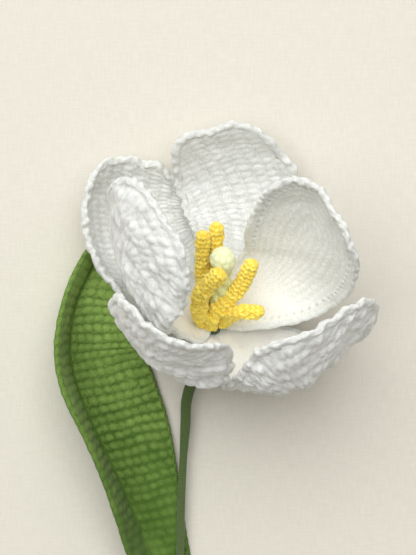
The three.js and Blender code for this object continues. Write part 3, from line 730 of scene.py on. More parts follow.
@dataclass
class Petal:
    """One crocheted petal: rounds of stitches inside a thick twisted rim.

    Angles are degrees and cups 1/mm. The midline leaves the receptacle at azimuth, sways
    sideways, and its slope over the rim's plane goes from start to finish between the two
    bends, with an extra curl at the tip. The section across it is an arc. Plain shares count
    from the base, calm stretches are shares of the way round the rim from the base, and trim
    is the share of its width that the lower part of the far side is short of. Lift and gather
    are how far the base is drawn up and in to the stem where it is sewn on, and peak is how far
    the middle of the tip stands out. Pinholes is the depth of the holes inside the rim.

    Layers count outwards from 0. Egg and blunt shape the outline, as in rim. Skew makes one
    side cup more than the other. Depths scale the stitches of a face. Rim twist, pitch and
    lumps are the height, length and unevenness of the rim's loops, and lumps is the faces'.
    """

    node: str
    layer: int
    azimuth: float
    sway: float
    start: float
    finish: float
    bend: tuple[float, float]
    curl: float
    cup: tuple[float, float]
    skew: float
    roll: tuple[float, float]
    length: float
    half_width: float
    egg: float
    blunt: float
    seed: int
    plain_outside: float = 0.16
    plain_inside: float = 0.3
    calm: tuple[tuple[float, float], ...] = ()
    rim_twist: float = 0.3
    rim_pitch: float = 3.3
    rim_lumps: float = 0.22
    lumps: float = 0.2
    trim: float = 0.0
    lift: float = 0.0
    gather: float = 0.0
    peak: float = 0.0
    pinholes: float = 0.0
    inside: Stitch = SHORT_BACK
    inside_depth: float = 1.0
    outside_depth: float = 1.0
    head: Head = Head()

    STEPS = 220
    OVERRUN = 1.1
    RIM = 1.45
    STEM_TO_PETAL = 3.0
    LAYER_REACH = 0.3
    LAYER_DROP = 3.3
    ROLL_FROM_BASE = 0.25
    CUP_FROM_BASE = 0.35
    TIP_CUP_FROM = 0.6
    TIP_CURL_FROM = 0.72
    SWAY_POWER = 1.5
    SKEW_WIDTH = 6.0
    WIDEST_BEND = 2.6
    SEWN = 16.0
    TRIMMED = (0.08, 0.4)
    PEAK_AT = 7.5
    PEAK_WIDTH = 6.5
    PEAK_FROM = (0.5, 0.9)

    AROUND = 396
    FACE_ROWS = 48
    RIM_POINTS = 1501
    BEAD = np.radians(np.linspace(112.0, -112.0, 15))
    GROOVE = 1.35
    OVERLAP = 0.35
    CHAIN_GAP = 0.02
    HALF_THICKNESS = 0.68

    # The faces. A wobble is its size, length and number of waves. A pinhole is its pitch, its
    # distance from the groove and its size. Other pairs are where a change starts and ends. The
    # shades are painted shade between the stitches and in the pinholes
    INSIDE_RELIEF = 0.28
    OUTSIDE_RELIEF = 0.5
    EDGE_RELIEF = 0.4
    EDGE_FROM = 0.6
    EDGE_WIDTH = 1.6
    PLAIN_RELIEF = 0.25
    PLAIN_EDGE = (0.08, 0.1)
    INSIDE_SHADE = 0.8
    OUTSIDE_SHADE = 0.75
    OUTSIDE_LUMPS = (0.24, 6.5, 11)
    LUMP_LENGTH = 9.0
    # Painted shade: darker and warmer towards the base, deep in the cup, and less on the outside
    BASE_SHADE = (0.05, 0.5)
    OUTSIDE_BASE_SHADE = 0.6
    WAVER = (0.3, 13.0)
    WAVER_WITHIN = 3.0
    DRIFT = (0.1, 10.0)
    UNEVEN = 0.8
    FEWEST = 6.0
    MANY = 1000.0
    PINHOLE = (2.9, 0.9, 0.55)
    PINHOLE_SHADE = 2.0

    # The rim. Tuples are as above, and a loop is its least share and its random share
    RIM_RISE = 0.3
    RIM_REACH = (-0.3, 4.0)
    RIM_CORE = 1.05
    RIM_WIDE = 1.3
    RIM_ROUGH = (0.18, 3.2, 11)
    ROUGH_FROM = (4.0, 12.0)
    RIM_PAINTED_LIGHT = 0.3
    RIM_WAVER = 8.0
    LOOP = (0.6, 0.4)
    LOOP_UNEVEN = (0.2, 14.0)
    LOOP_SLANT = 0.22
    LOOP_POWER = 0.7
    CREST_POWER = 0.8
    SCALLOP = 0.36
    SQUEEZED = (0.2, 0.75)
    BUNCHED = 0.3
    CALM_RADIUS = 0.9
    CALM_TWIST = 0.08
    CALM_EDGE = 0.05
    CALM_BASE = (8.0, 16.0)
    CALM_SHARE = 0.6
    CALM_OUT = 0.4
    CALM_PAINTED_LIGHT = 0.75

    WIRE_RADIUS = 0.35
    WIRE_FROM = 0.04
    WIRE_AROUND = 8
    WIRE_STIFFNESS = 8

    def slope(self, share: Array) -> Array:
        """Slope of the midline over the rim's plane in radians, at shares of its length."""
        bend = ease(share, *self.bend)
        curl = self.curl * ease(share, self.TIP_CURL_FROM)
        return np.radians(lerp(self.start, self.finish, bend) + curl)

    def stations(self) -> tuple[Array, Array, Array, Array]:
        """The midline's points with their across and inward directions and cups.

        The midline's reach and height are the running sums of the cosine and sine of its
        slope. Across is level and square to it, and both directions then roll about it.

        Returns:
            Centres, across and inward directions (n, 3) and cups (n,), in the flower's axes.
        """
        share = np.linspace(0.0, self.OVERRUN, self.STEPS + 1)
        slope = self.slope(share)
        step = self.length * self.OVERRUN / self.STEPS

        def running(values: Array) -> Array:
            """The sum so far along the midline, by the trapezium rule."""
            return np.concatenate([[0.0], np.cumsum((values[1:] + values[:-1]) / 2.0 * step)])

        sewn = 1.0 - ease(share * self.length, 0.0, self.SEWN)
        reach = self.STEM_TO_PETAL + self.LAYER_REACH * self.layer + running(np.cos(slope))
        reach = reach - self.gather * sewn
        height = -self.LAYER_DROP * self.layer + running(np.sin(slope)) + self.lift * sewn
        azimuth = np.radians(self.azimuth + self.sway * share**self.SWAY_POWER)
        centre = np.stack([reach * np.cos(azimuth), reach * np.sin(azimuth), height], axis=1)
        padded = np.vstack([centre[:1], centre, centre[-1:]])
        along = unit(padded[2:] - padded[:-2])
        level = np.stack([-np.sin(azimuth), np.cos(azimuth), np.zeros_like(azimuth)], axis=1)
        across = unit(level - columns(np.sum(level * along, axis=1)) * along)
        inward = np.cross(along, across)
        roll = np.radians(lerp(*self.roll, share)) * ease(share, 0.0, self.ROLL_FROM_BASE)
        cos, sin = columns(np.cos(roll)), columns(np.sin(roll))
        cup = self.cup[0] * ease(share, 0.0, self.CUP_FROM_BASE)
        cup = cup + (self.cup[1] - self.cup[0]) * ease(share, self.TIP_CUP_FROM)
        return centre, cos * across + sin * inward, cos * inward - sin * across, cup

    def place(self, across: Array, along: Array) -> tuple[Array, Array]:
        """Middle of the fabric and its inward normal at flat points.

        The point goes round the section's arc: sin(angle) / cup across and
        (1 - cos(angle)) / cup inward, where angle = across times cup.

        Args:
            across: flat coordinate across, in mm.
            along: flat coordinate from the base, in mm.

        Returns:
            Points and unit normals, in the flower's axes.
        """
        centre, sideways, inward, cup = self.stations()
        where = np.clip(along / (self.length * self.OVERRUN), 0.0, 1.0) * self.STEPS
        low = np.minimum(where.astype(int), self.STEPS - 1)
        part = where - low

        def between(table: Array) -> Array:
            """The table's values between its two nearest stations."""
            share = columns(part) if table.ndim == 2 else part
            return lerp(table[low], table[low + 1], share)

        bent = between(cup) * (1.0 + self.skew * np.tanh(across / self.SKEW_WIDTH)) + 1e-6
        angle = np.clip(across * bent, -self.WIDEST_BEND, self.WIDEST_BEND)
        side, into = between(sideways), between(inward)
        point = between(centre) + columns(np.sin(angle) / bent) * side
        point = point + columns((1.0 - np.cos(angle)) / bent) * into
        normal = unit(columns(np.cos(angle)) * into - columns(np.sin(angle)) * side)
        return point, normal

    def rim(self) -> tuple[Array, Array]:
        """The rim's middle line in flat coordinates, at even steps round the petal.

        Half way round, width = sin(turn)^blunt times (1 - egg cos(turn)), scaled to the half
        width, and along = length (1 - cos(turn)) / 2. The line lies one rim radius inside. The
        far side is narrower near its base by the trim, and the tip stands out by the peak
        times the bell exp(-((across - its place) / its width)^2).

        Returns:
            Across and along, each (around,), from the base up one side and down the other.
        """
        turn = math.pi * (1.0 - np.cos(np.linspace(0.0, math.pi, self.RIM_POINTS))) / 2.0
        share = np.sin(turn) ** self.blunt * (1.0 - self.egg * np.cos(turn))
        width = np.maximum(self.half_width * share / share.max() - self.RIM, 0.0)
        half = self.length / 2.0
        along = half - half * np.cos(turn) * (1.0 - self.RIM / half)
        short = 1.0 - self.trim * (1.0 - ease(along / self.length, *self.TRIMMED))
        across = np.concatenate([width, -(width * short)[-2:0:-1]])
        along = np.concatenate([along, along[-2:0:-1]])
        top = ease(along / self.length, *self.PEAK_FROM)
        bell = np.exp(-(((across - self.PEAK_AT) / self.PEAK_WIDTH) ** 2))
        along = along + self.peak * top * bell
        step = np.hypot(np.diff(across, append=across[0]), np.diff(along, append=along[0]))
        distance = np.concatenate([[0.0], np.cumsum(step)])
        stops = np.linspace(0.0, distance[-1], self.AROUND, endpoint=False)
        across = np.interp(stops, distance, np.append(across, across[0]))
        return across, np.interp(stops, distance, np.append(along, along[0]))

    def _worked(self, across: Array, along: Array, inset: Array, stitch: Stitch) -> Array:
        """Height of the stitches on a face, from 0 to 1.

        Each round holds a whole number of stitches, spread evenly along it, and its line
        wavers a little.

        Args:
            across: flat coordinates (rows, around).
            along: flat coordinates (rows, around).
            inset: each row's distance in from the groove, in mm (rows,).
            stitch: the repeat.

        Returns:
            The height (rows, around).
        """
        dx = np.diff(across, axis=1, append=across[:, :1])
        dy = np.diff(along, axis=1, append=along[:, :1])
        step = np.hypot(dx, dy)
        length = step.sum(axis=1)
        share = (np.cumsum(step, axis=1) - step) / columns(length)
        waver = Wobble(self.seed + 60, *self.WAVER).at(across, along)
        drift = Wobble(self.seed + 40, *self.DRIFT).at(across, along)
        if stitch is TALL_BACK:
            column = (across + waver) / stitch.across + 0.5
            whole = np.floor(column)
            u = along / stitch.along + 0.5 * np.mod(whole, 2.0) + drift
            return stitch.relief(u, column - whole, whole, self.MANY, self.UNEVEN)
        waver = waver * ease(columns(inset), 0.0, self.WAVER_WITHIN)
        rounds = np.maximum(columns(inset) + waver, 0.0) / stitch.across
        whole = np.floor(rounds)
        middle = np.interp((whole + 0.5) * stitch.across, inset[::-1], length[::-1])
        count = np.maximum(np.round(middle / stitch.along), self.FEWEST)
        return stitch.relief(count * share + drift, rounds - whole, whole, count, self.UNEVEN)

    def rings(self) -> tuple[Array, dict[str, Array]]:
        """The whole skin: inside face, rim and outside face.

        Returns:
            Points (rings, around, 3) in world mm, and the marks for the yarn.
        """
        edge_x, edge_y = self.rim()
        half = self.length / 2.0
        reach = self.half_width - self.RIM
        keep = 1.0 - reach / (half - self.RIM)
        innermost = 1.0 - (self.GROOVE - self.OVERLAP) / reach
        share = np.linspace(self.CHAIN_GAP, innermost, self.FACE_ROWS)
        across = columns(share) * edge_x
        along = half + columns(keep + (1.0 - keep) * share) * (edge_y - half)
        inset = (1.0 - share) * reach - self.GROOVE
        middle, normal = self.place(across, along)
        lump = Wobble(self.seed, self.lumps, self.LUMP_LENGTH).at(across, along)
        edge = smooth((inset + self.EDGE_FROM) / self.EDGE_WIDTH)
        edge = columns(lerp(self.EDGE_RELIEF, 1.0, edge))
        rise = columns(self.RIM_RISE * (1.0 - ease(inset, *self.RIM_REACH)))
        knots = Wobble(self.seed + 20, *self.OUTSIDE_LUMPS).at(across, along) * edge
        within = self.INSIDE_RELIEF * self.inside_depth
        shade = self.INSIDE_SHADE * self.inside_depth
        outside = self.OUTSIDE_RELIEF * self.outside_depth
        before, after = self.PLAIN_EDGE
        faces, painted_lights = [], []
        for stitch, sign, height, plain, dark, knot in (
            (self.inside, 1.0, within, self.plain_inside, shade, 0.0),
            (TALL_FRONT, -1.0, outside, self.plain_outside, self.OUTSIDE_SHADE, knots),
        ):
            relief = self._worked(across, along, inset, stitch) * edge
            worked = ease(along / self.length, plain - before, plain + after)
            worked = lerp(self.PLAIN_RELIEF, 1.0, worked)
            offset = self.HALF_THICKNESS + rise + (height * relief + knot) * worked
            # Painted shade between the stitches, and in the pinholes below
            painted_light = lerp(1.0, relief, worked * dark)
            if sign > 0.0 and self.pinholes:
                hole = self.pinholes * self._pinholes(edge_x, edge_y, inset)
                offset, painted_light = offset - hole, painted_light - self.PINHOLE_SHADE * hole
            faces.append(middle + columns(sign * offset + lump) * normal)
            painted_lights.append(painted_light)
        bead, bead_painted_light = self._bead(edge_x, edge_y)
        rings = np.concatenate([faces[0], bead, faces[1][::-1]])
        # Painted shade: darker and warmer towards the base of the cup, inside and, less, outside
        low = 1.0 - ease(along / self.length, *self.BASE_SHADE)
        base_shades = [low, np.zeros(bead.shape[:2]), self.OUTSIDE_BASE_SHADE * low[::-1]]
        marks = {
            "painted_light": np.concatenate([painted_lights[0], bead_painted_light, painted_lights[1][::-1]]),
            "tint_and_shade": np.concatenate(base_shades),
        }
        return self.head.to_world(rings), marks

    def _pinholes(self, edge_x: Array, edge_y: Array, inset: Array) -> Array:
        """Holes between the stitches of the last round, from 0 to 1.

        Each is a bell in both directions: exp(-(distance / size)^2).

        Args:
            edge_x: the rim's middle line, across.
            edge_y: the rim's middle line, along.
            inset: each row's distance in from the groove, in mm.

        Returns:
            How open it is (rows, around).
        """
        pitch, middle, size = self.PINHOLE
        steps = np.hypot(np.diff(edge_x, prepend=edge_x[0]), np.diff(edge_y, prepend=edge_y[0]))
        run = np.cumsum(steps)
        beside = (run / pitch - np.floor(run / pitch) - 0.5) * pitch
        return np.exp(-((columns(inset) - middle) ** 2 + beside**2) / size**2)

    def _rim_line(self, edge_x: Array, edge_y: Array) -> tuple[Array, ...]:
        """The rim's middle line as worked.

        It moves in between the loops and wavers by hand. Calm stretches lie flatter, and it
        wavers less where the petal's bend squeezes the rim: by its length over its flat length.

        Args:
            edge_x: the rim's plain middle line, across.
            edge_y: the rim's plain middle line, along.

        Returns:
            Points, outward and inward directions (around, 3), and the loops' phase, how full
            each loop is, how calm the rim is, and how much room it has (around,).
        """
        middle, normal = self.place(edge_x, edge_y)
        run = np.roll(middle, -1, axis=0) - np.roll(middle, 1, axis=0)
        out = unit(np.cross(normal, run))
        length = np.linalg.norm(run, axis=1).sum() / 2.0
        share = np.arange(self.AROUND) / self.AROUND
        uneven = Wobble(self.seed + 80, *self.LOOP_UNEVEN).at(edge_x, edge_y)
        phase = round(length / self.rim_pitch) * share + uneven
        least, more = self.LOOP
        loop = least + more * scatter(np.floor(phase + 0.5), self.seed)
        calm = np.zeros(self.AROUND)
        for a, b in self.calm:
            inside = ease(share, a, a + self.CALM_EDGE)
            calm = calm + inside * (1.0 - ease(share, b - self.CALM_EDGE, b))
        calm = np.maximum(calm, 1.0 - ease(edge_y, *self.CALM_BASE))
        crest = loop * np.abs(np.cos(math.pi * phase)) ** self.CREST_POWER
        lump = Wobble(self.seed, self.lumps, self.LUMP_LENGTH).at(edge_x, edge_y)
        shift = self.SCALLOP * (crest - 1.0) * (1.0 - self.CALM_SHARE * calm)
        shift = shift + self.CALM_OUT * calm
        shift = shift + Wobble(self.seed + 90, self.rim_lumps, self.RIM_WAVER).at(edge_x, edge_y)
        flat = np.hypot(*(np.roll(edge, -1) - np.roll(edge, 1) for edge in (edge_x, edge_y)))
        room = ease(np.linalg.norm(run, axis=1) / flat, *self.SQUEEZED)
        middle = middle + columns(shift * room) * out + columns(lump) * normal
        return middle, out, normal, phase, loop, calm, room

    def _bead(self, edge_x: Array, edge_y: Array) -> tuple[Array, Array]:
        """The rim: a rope of slanted loops round the edge.

        Its radius is the core plus the twist times |cos| of the loop's phase, which advances
        along the rim and round the bead, plus uneven lumps. It is wider than it is thick, and
        thicker where the petal's bend bunches it up.

        Args:
            edge_x: the rim's middle line, across.
            edge_y: the rim's middle line, along.

        Returns:
            Points (bead rows, around, 3) and their painted light: lighter on the loops' tops and
            painted shade between them.
        """
        middle, out, normal, phase, loop, calm, room = self._rim_line(edge_x, edge_y)
        angle = columns(self.BEAD)
        wave = np.cos(math.pi * (phase - self.LOOP_SLANT * angle))
        twist = loop * np.abs(wave) ** self.LOOP_POWER
        step = np.linalg.norm(np.roll(middle, -1, axis=0) - middle, axis=1)
        rough = Wobble(self.seed + 95, *self.RIM_ROUGH).at(np.cumsum(step), 2.0 * angle)
        rough = rough * ease(edge_y, *self.ROUGH_FROM) * (1.0 - self.CALM_SHARE * calm)
        worked = self.RIM_CORE + self.rim_twist * twist
        radius = lerp(worked, self.CALM_RADIUS + self.CALM_TWIST * twist, calm)
        radius = radius + rough + self.BUNCHED * (1.0 - room)
        rings = middle + columns(self.RIM_WIDE * radius * np.cos(angle)) * out
        rings = rings + columns(radius * np.sin(angle)) * normal
        # Painted shade between the rim's loops, lighter on their tops; calm stretches an even
        # painted light
        painted_light = self.RIM_PAINTED_LIGHT * twist + rough
        return rings, lerp(painted_light, self.CALM_PAINTED_LIGHT, self.CALM_SHARE * calm)

    def build(self) -> bpy.types.Object:
        """Makes the petal, and the wire in its rim, in place of their CAD nodes.

        The wire bends less tightly than the yarn round it: each of its points is the mean of
        the rim's points within its stiffness on either side.
        """
        rings, marks = self.rings()
        piece = Skin(self.node.replace("petal", "crochet_petal"), rings, Cap.ZIP, marks).build()
        PETAL_YARN.dress(piece, self.node)
        middle, out, normal, *_ = self._rim_line(*self.rim())
        beside = range(-self.WIRE_STIFFNESS, self.WIRE_STIFFNESS + 1)
        middle = sum(np.roll(middle, step, axis=0) for step in beside) / len(beside)
        kept = slice(round(self.WIRE_FROM * self.AROUND), round((1 - self.WIRE_FROM) * self.AROUND))
        angle = ring_angles(self.WIRE_AROUND)
        rings = middle[kept, None] + self.WIRE_RADIUS * (
            columns(np.cos(angle)) * out[kept, None] + columns(np.sin(angle)) * normal[kept, None]
        )
        name = self.node.replace("petal", "rim_wire")
        wire = Skin(name, self.head.to_world(rings), Cap.FAN).build()
        WIRE.dress(wire, self.node.replace("petal", "edge_wire"))
        return piece


PETALS = (
    Petal("petal_right", 0, 30, -39, 31.5, 85, (0.22, 0.52), 18.5, (0.032, 0.036), 0.95,
          (17.5, 25), 73.5, 23, 0.44, 0.61, 11, calm=((0.0, 0.33), (0.64, 1.0)),
          rim_twist=0.2, inside_depth=0.7, pinholes=0.6),
    Petal("petal_left", 0, 169, 38.5, 27, 88, (0.22, 0.56), 30, (0.016, 0.017), 0.1,
          (15, 13.5), 74.5, 23.5, 0.26, 0.61, 12, plain_outside=0.36, rim_twist=0.2,
          rim_pitch=4.2, rim_lumps=0.35, lumps=0.36, gather=2.3),
    Petal("petal_rear", 1, 49.5, 43.5, 19.5, 91.5, (0.3, 0.9), 3.5, (0.033, 0.018), 0.1,
          (17.5, 4.5), 75, 22.5, 0.07, 0.57, 13, rim_pitch=4.0, rim_lumps=0.45, trim=0.5,
          peak=4.6, inside=TALL_BACK, inside_depth=1.15),
    Petal("petal_front_left", 1, 219, 22.5, 10.5, 63, (0.34, 0.5), 2, (0.031, 0.048), 0.2,
          (-7.5, 1.5), 61, 24, 0.22, 0.59, 14, rim_pitch=5.0, rim_lumps=0.45, lumps=0.42,
          lift=1.4, gather=2.5, outside_depth=1.3),
    Petal("petal_rear_left", 2, 128.5, -12.5, 11.5, 80.5, (0.32, 0.97), 7, (0.04, 0.039), 0.4,
          (-4.5, -23), 73, 25, 0.15, 0.62, 15, rim_pitch=3.8, rim_lumps=0.45, inside=TALL_BACK,
          inside_depth=1.4),
    Petal("petal_front_right", 2, 318.5, -13, 3.5, 86, (0.15, 0.82), 9.5, (0.029, 0.029), -0.9,
          (9.5, -4.5), 72.5, 27, 0.15, 0.58, 16, rim_twist=0.26, rim_pitch=4.0, rim_lumps=0.5,
          lumps=0.45, plain_inside=0.4, lift=4.4, gather=2.6, outside_depth=1.3),
)


@dataclass
class Stamen:
    """A crocheted cord with two bumpy ridges side by side.

    Root is its place round the receptacle in degrees; middle and tip are in the flower's axes.
    Between root and middle it passes a point spread times as far out, at the height rise.
    Thick is its radius against the others'.
    """

    node: str
    root: float
    middle: Point
    tip: Point
    seed: int
    spread: float = 1.35
    rise: float = 5.5
    thick: float = 1.0
    head: Head = Head()

    RADIUS = 2.55
    ROOT_RADIUS = 2.1
    ROOT_RING = 2.6
    ROOT_HEIGHT = 2.4
    SWELL = (0.0, 0.28)
    WAIST = 0.76
    RIDGES = 0.06
    LUMPS = (0.08, 3.6, 11)
    LUMPS_ROUND = 2.5
    TIP_FLAT = 0.02
    STITCHES = 8
    SWIRL = 0.12
    RELIEF = 0.24
    ROOT_TINT = (0.05, 0.5)
    AROUND = 84
    STEP = 0.2

    def route(self) -> Route:
        """The cord's middle line in the world."""
        angle = math.radians(self.root)
        x, y = self.ROOT_RING * math.cos(angle), self.ROOT_RING * math.sin(angle)
        points = [
            (x, y, self.ROOT_HEIGHT), (self.spread * x, self.spread * y, self.rise),
            self.middle, self.tip,
        ]
        return Route(list(self.head.to_world(np.array(points))))

    def build(self) -> bpy.types.Object:
        """Makes the cord in place of its CAD node.

        Radius = full radius times the waist, a little cos of twice the angle for the two ridges,
        and the stitches' relief, with a domed tip.
        """
        route = self.route()
        distance = np.linspace(0.0, route.length, int(route.length / self.STEP))
        heading = route.heading(distance)
        side = unit(np.cross([0.0, 0.0, 1.0], heading))
        over = np.cross(heading, side)
        angle = ring_angles(self.AROUND)
        full = self.RADIUS * self.thick
        swell = lerp(self.ROOT_RADIUS, full, ease(distance / route.length, *self.SWELL))
        left = np.minimum(route.length - distance, full)
        dome = np.sqrt(np.maximum(1.0 - (1.0 - left / full) ** 2, self.TIP_FLAT))
        swirl = self.SWIRL * columns(distance) + angle / (2.0 * math.pi) * self.STITCHES
        rows = columns(distance) / CORD_STITCH.across + 0.0 * angle
        row = np.floor(rows)
        relief = CORD_STITCH.relief(swirl, rows - row, row + self.seed, self.STITCHES, 1.0)
        turned = self.LUMPS_ROUND * angle_round(angle)
        lump = Wobble(self.seed + 50, *self.LUMPS).at(columns(distance), turned)
        ridge = self.RIDGES * np.cos(2.0 * angle)
        radius = columns(swell * dome) * (self.WAIST + ridge + lump + self.RELIEF * relief)
        across, up = radius * np.cos(angle), radius * np.sin(angle)
        rings = rings_round(route.at(distance), side, over, across, up)
        root = 1.0 - ease(columns(distance) / route.length, *self.ROOT_TINT)
        # Painted shade between the stitches; towards the root the yarn is darker and more orange
        marks = {"painted_light": relief, "tint_and_shade": np.broadcast_to(root, relief.shape).copy()}
        name = self.node.replace("stamen", "crochet_stamen")
        piece = Skin(name, rings, Cap.FAN, marks).build()
        STAMEN_YARN.dress(piece, self.node)
        return piece


STAMENS = (
    Stamen("stamen_rear_left", 140, (-5.2, 5.9, 20.5), (-6.6, 7.0, 36.4), 21),
    Stamen("stamen_rear", 68, (-0.6, 6.7, 21.0), (-2.3, 9.2, 38.2), 22),
    Stamen("stamen_front_left", 200, (-6.7, -4.3, 19.0), (-2.0, -7.6, 32.5), 23, 1.9, 5.5, 1.2),
    Stamen("stamen_right", 246, (6.0, -1.6, 19.6), (9.3, -1.5, 31.6), 24, 1.35, 8.0, 1.12),
    Stamen("stamen_front_right", 330, (5.6, -6.4, 13.2), (14.0, -8.4, 15.5), 25),
)


@dataclass
class Pistil:
    """A stuffed ball of short stitches on a twisted stalk."""

    centre_height: float = 29.4
    ball: float = 4.3
    stalk: float = 3.15
    root: float = 1.5
    root_height: float = 1.1
    root_top: float = 4.5
    stalk_from: float = 11.0
    neck_share: float = 0.92
    lean: tuple[float, float] = (-0.3, 1.0)
    bow: float = 1.2
    ribs: int = 9
    rounds: int = 5
    head: Head = Head()

    AROUND = 108
    ROWS = 90
    # How far the ball's rows stop short of the stalk and of the top, in radians
    ENDS = (0.05, 0.03)
    ON_BALL = (-0.9, -0.4)
    STAGGER = 0.35
    RIB_POWER = 0.6
    ROUND_POWER = 0.5
    TWIST = 5.0
    DEPTHS = (0.22, 0.065)

    def build(self) -> bpy.types.Object:
        """Makes the pistil in place of its CAD node.

        Stalk radius = profile times (1 + a little cos of twice the angle and the height), and
        ball radius = sphere times (1 - depth + depth times the bumps of its rounds).
        """
        neck = self.centre_height - self.ball * self.neck_share
        low = np.linspace(self.root_height, neck, self.ROWS)
        above_stalk, below_top = self.ENDS
        lowest = -math.acos(self.stalk / self.ball) + above_stalk
        tip = np.linspace(lowest, math.pi / 2 - below_top, self.ROWS)
        height = np.concatenate([low, self.centre_height + self.ball * np.sin(tip)])
        heights = [self.root_height, self.root_top, self.stalk_from]
        profile = np.interp(low, heights, [self.root, self.root, self.stalk])
        radius = np.concatenate([profile, self.ball * np.cos(tip)])
        angle = ring_angles(self.AROUND)
        turns = np.concatenate([np.zeros_like(low), (tip + math.pi / 2) / math.pi * self.rounds])
        on_ball = np.concatenate([np.zeros_like(low), ease(tip, *self.ON_BALL)])
        row = np.floor(turns)
        rib = np.cos(self.ribs * (angle + columns(row) * self.STAGGER) / 2.0)
        bumps = np.abs(rib) ** self.RIB_POWER
        bumps = bumps * np.sin(math.pi * columns(turns - row)) ** self.ROUND_POWER
        cord = 0.5 + 0.5 * np.cos(2.0 * angle + columns(height) * 2.0 * math.pi / self.TWIST)
        relief = lerp(cord, bumps, columns(on_ball))
        depth = lerp(*self.DEPTHS, columns(on_ball))
        reach = columns(radius) * (1.0 - depth * (1.0 - relief))
        share = (height - self.root_height) / (self.centre_height - self.root_height)
        bow = self.bow * np.sin(math.pi * np.clip(share, 0.0, 1.0))
        x = reach * np.cos(angle) + columns(self.lean[0] * share + bow)
        y = reach * np.sin(angle) + columns(self.lean[1] * share)
        rings = np.stack([x, y, np.broadcast_to(columns(height), x.shape)], axis=-1)
        # Painted shade between the ball's bumps and in the stalk's twists; the stalk greener
        marks = {"painted_light": relief, "tint_and_shade": np.broadcast_to(columns(1.0 - on_ball), x.shape).copy()}
        piece = Skin("crochet_pistil", self.head.to_world(rings), Cap.FAN, marks).build()
        PISTIL_YARN.dress(piece, "pistil")
        return piece


# ---------------------------------------------------------------------------- stem and leaf


@dataclass
class Stem:
    """Wire wrapped closely in yarn, from the receptacle down to its cut end."""

    head: Head = Head()
    top: float = 0.8
    straight: tuple[float, float] = (4.0, 8.0)
    route_points: tuple[Point, ...] = (
        (-3.6, -11.5, 11.2), (-6.6, -17.5, 7.6), (-8.9, -25.0, 5.3), (-9.3, -33.0, 4.4),
        (-10.0, -44.0, 4.25), (-10.7, -59.0, 4.25), (-11.0, -75.0, 4.25), (-11.2, -93.0, 4.6),
        (-11.0, -110.0, 5.0), (-10.9, -124.0, 5.0), (-10.6, -134.0, 4.7), (-9.6, -158.0, 2.3),
        (-8.2, -195.0, 1.25), (-6.5, -250.0, 1.25),
    )
    profile: tuple[tuple[float, float], ...] = (
        (0, 2.65), (1.4, 2.65), (2.4, 1.2), (8.6, 1.2), (9.4, 4.6), (12.5, 3.4), (17, 2.1),
        (24, 2.05), (42, 1.8), (52, 1.4), (275, 1.4),
    )
    bore: float = 0.8
    bore_depth: float = 3.0
    coil: float = 0.85
    coil_depth: float = 0.13

    AROUND = 20
    STEP = 0.21
    WAVER = (31, 0.12, 11.0)
    COIL_POWER = 0.6
    SLIM = 0.97

    def route(self) -> Route:
        """The stem's middle line: down the flower's axis, then along the surface."""
        x, y, z = self.head.receptacle
        out = self.head.axes()[2]
        seat = np.array([x, y, z])
        first = [seat + self.top * out] + [seat - depth * out for depth in self.straight]
        return Route(first + [np.array(p) for p in self.head.over_ground(list(self.route_points))])

    def build(self) -> bpy.types.Object:
        """Makes the wrap in place of its CAD node.

        Radius = profile less a groove between coils: |sin(pi (distance / coil + turn))|,
        where turn is the angle round the stem in turns. The cut end is a ring round the wire.
        """
        route = self.route()
        distance = np.linspace(0.0, route.length, int(route.length / self.STEP))
        inner = route.length - np.array([0.0, 1.0, self.bore_depth])
        where = np.concatenate([distance, inner])
        heading = route.heading(where)
        side = unit(np.array([1.0, 0.0, 0.0]) - heading[:, :1] * heading)
        over = np.cross(heading, side)
        angle = ring_angles(self.AROUND)
        uneven = Wobble(*self.WAVER).at(columns(where), 2.0 * np.cos(angle))
        turn = columns(where) / self.coil + angle / (2.0 * math.pi) + uneven
        coil = np.abs(np.sin(math.pi * turn)) ** self.COIL_POWER
        inside = np.arange(len(where)) >= len(distance)
        radius = columns(np.interp(where, *zip(*self.profile))) * self.SLIM
        radius = radius - self.coil_depth * (1.0 - coil)
        radius = np.where(columns(inside), self.bore, radius)
        across, up = radius * np.cos(angle), radius * np.sin(angle)
        rings = rings_round(route.at(where), side, over, across, up)
        # Painted shade in the grooves between coils and in the bore of the cut end
        marks = {"painted_light": np.where(columns(inside), 0.0, coil), "tint_and_shade": np.zeros_like(coil)}
        piece = Skin("wrapped_stem", rings, Cap.FAN, marks).build()
        STEM_YARN.dress(piece, "stem_wrap")
        return piece


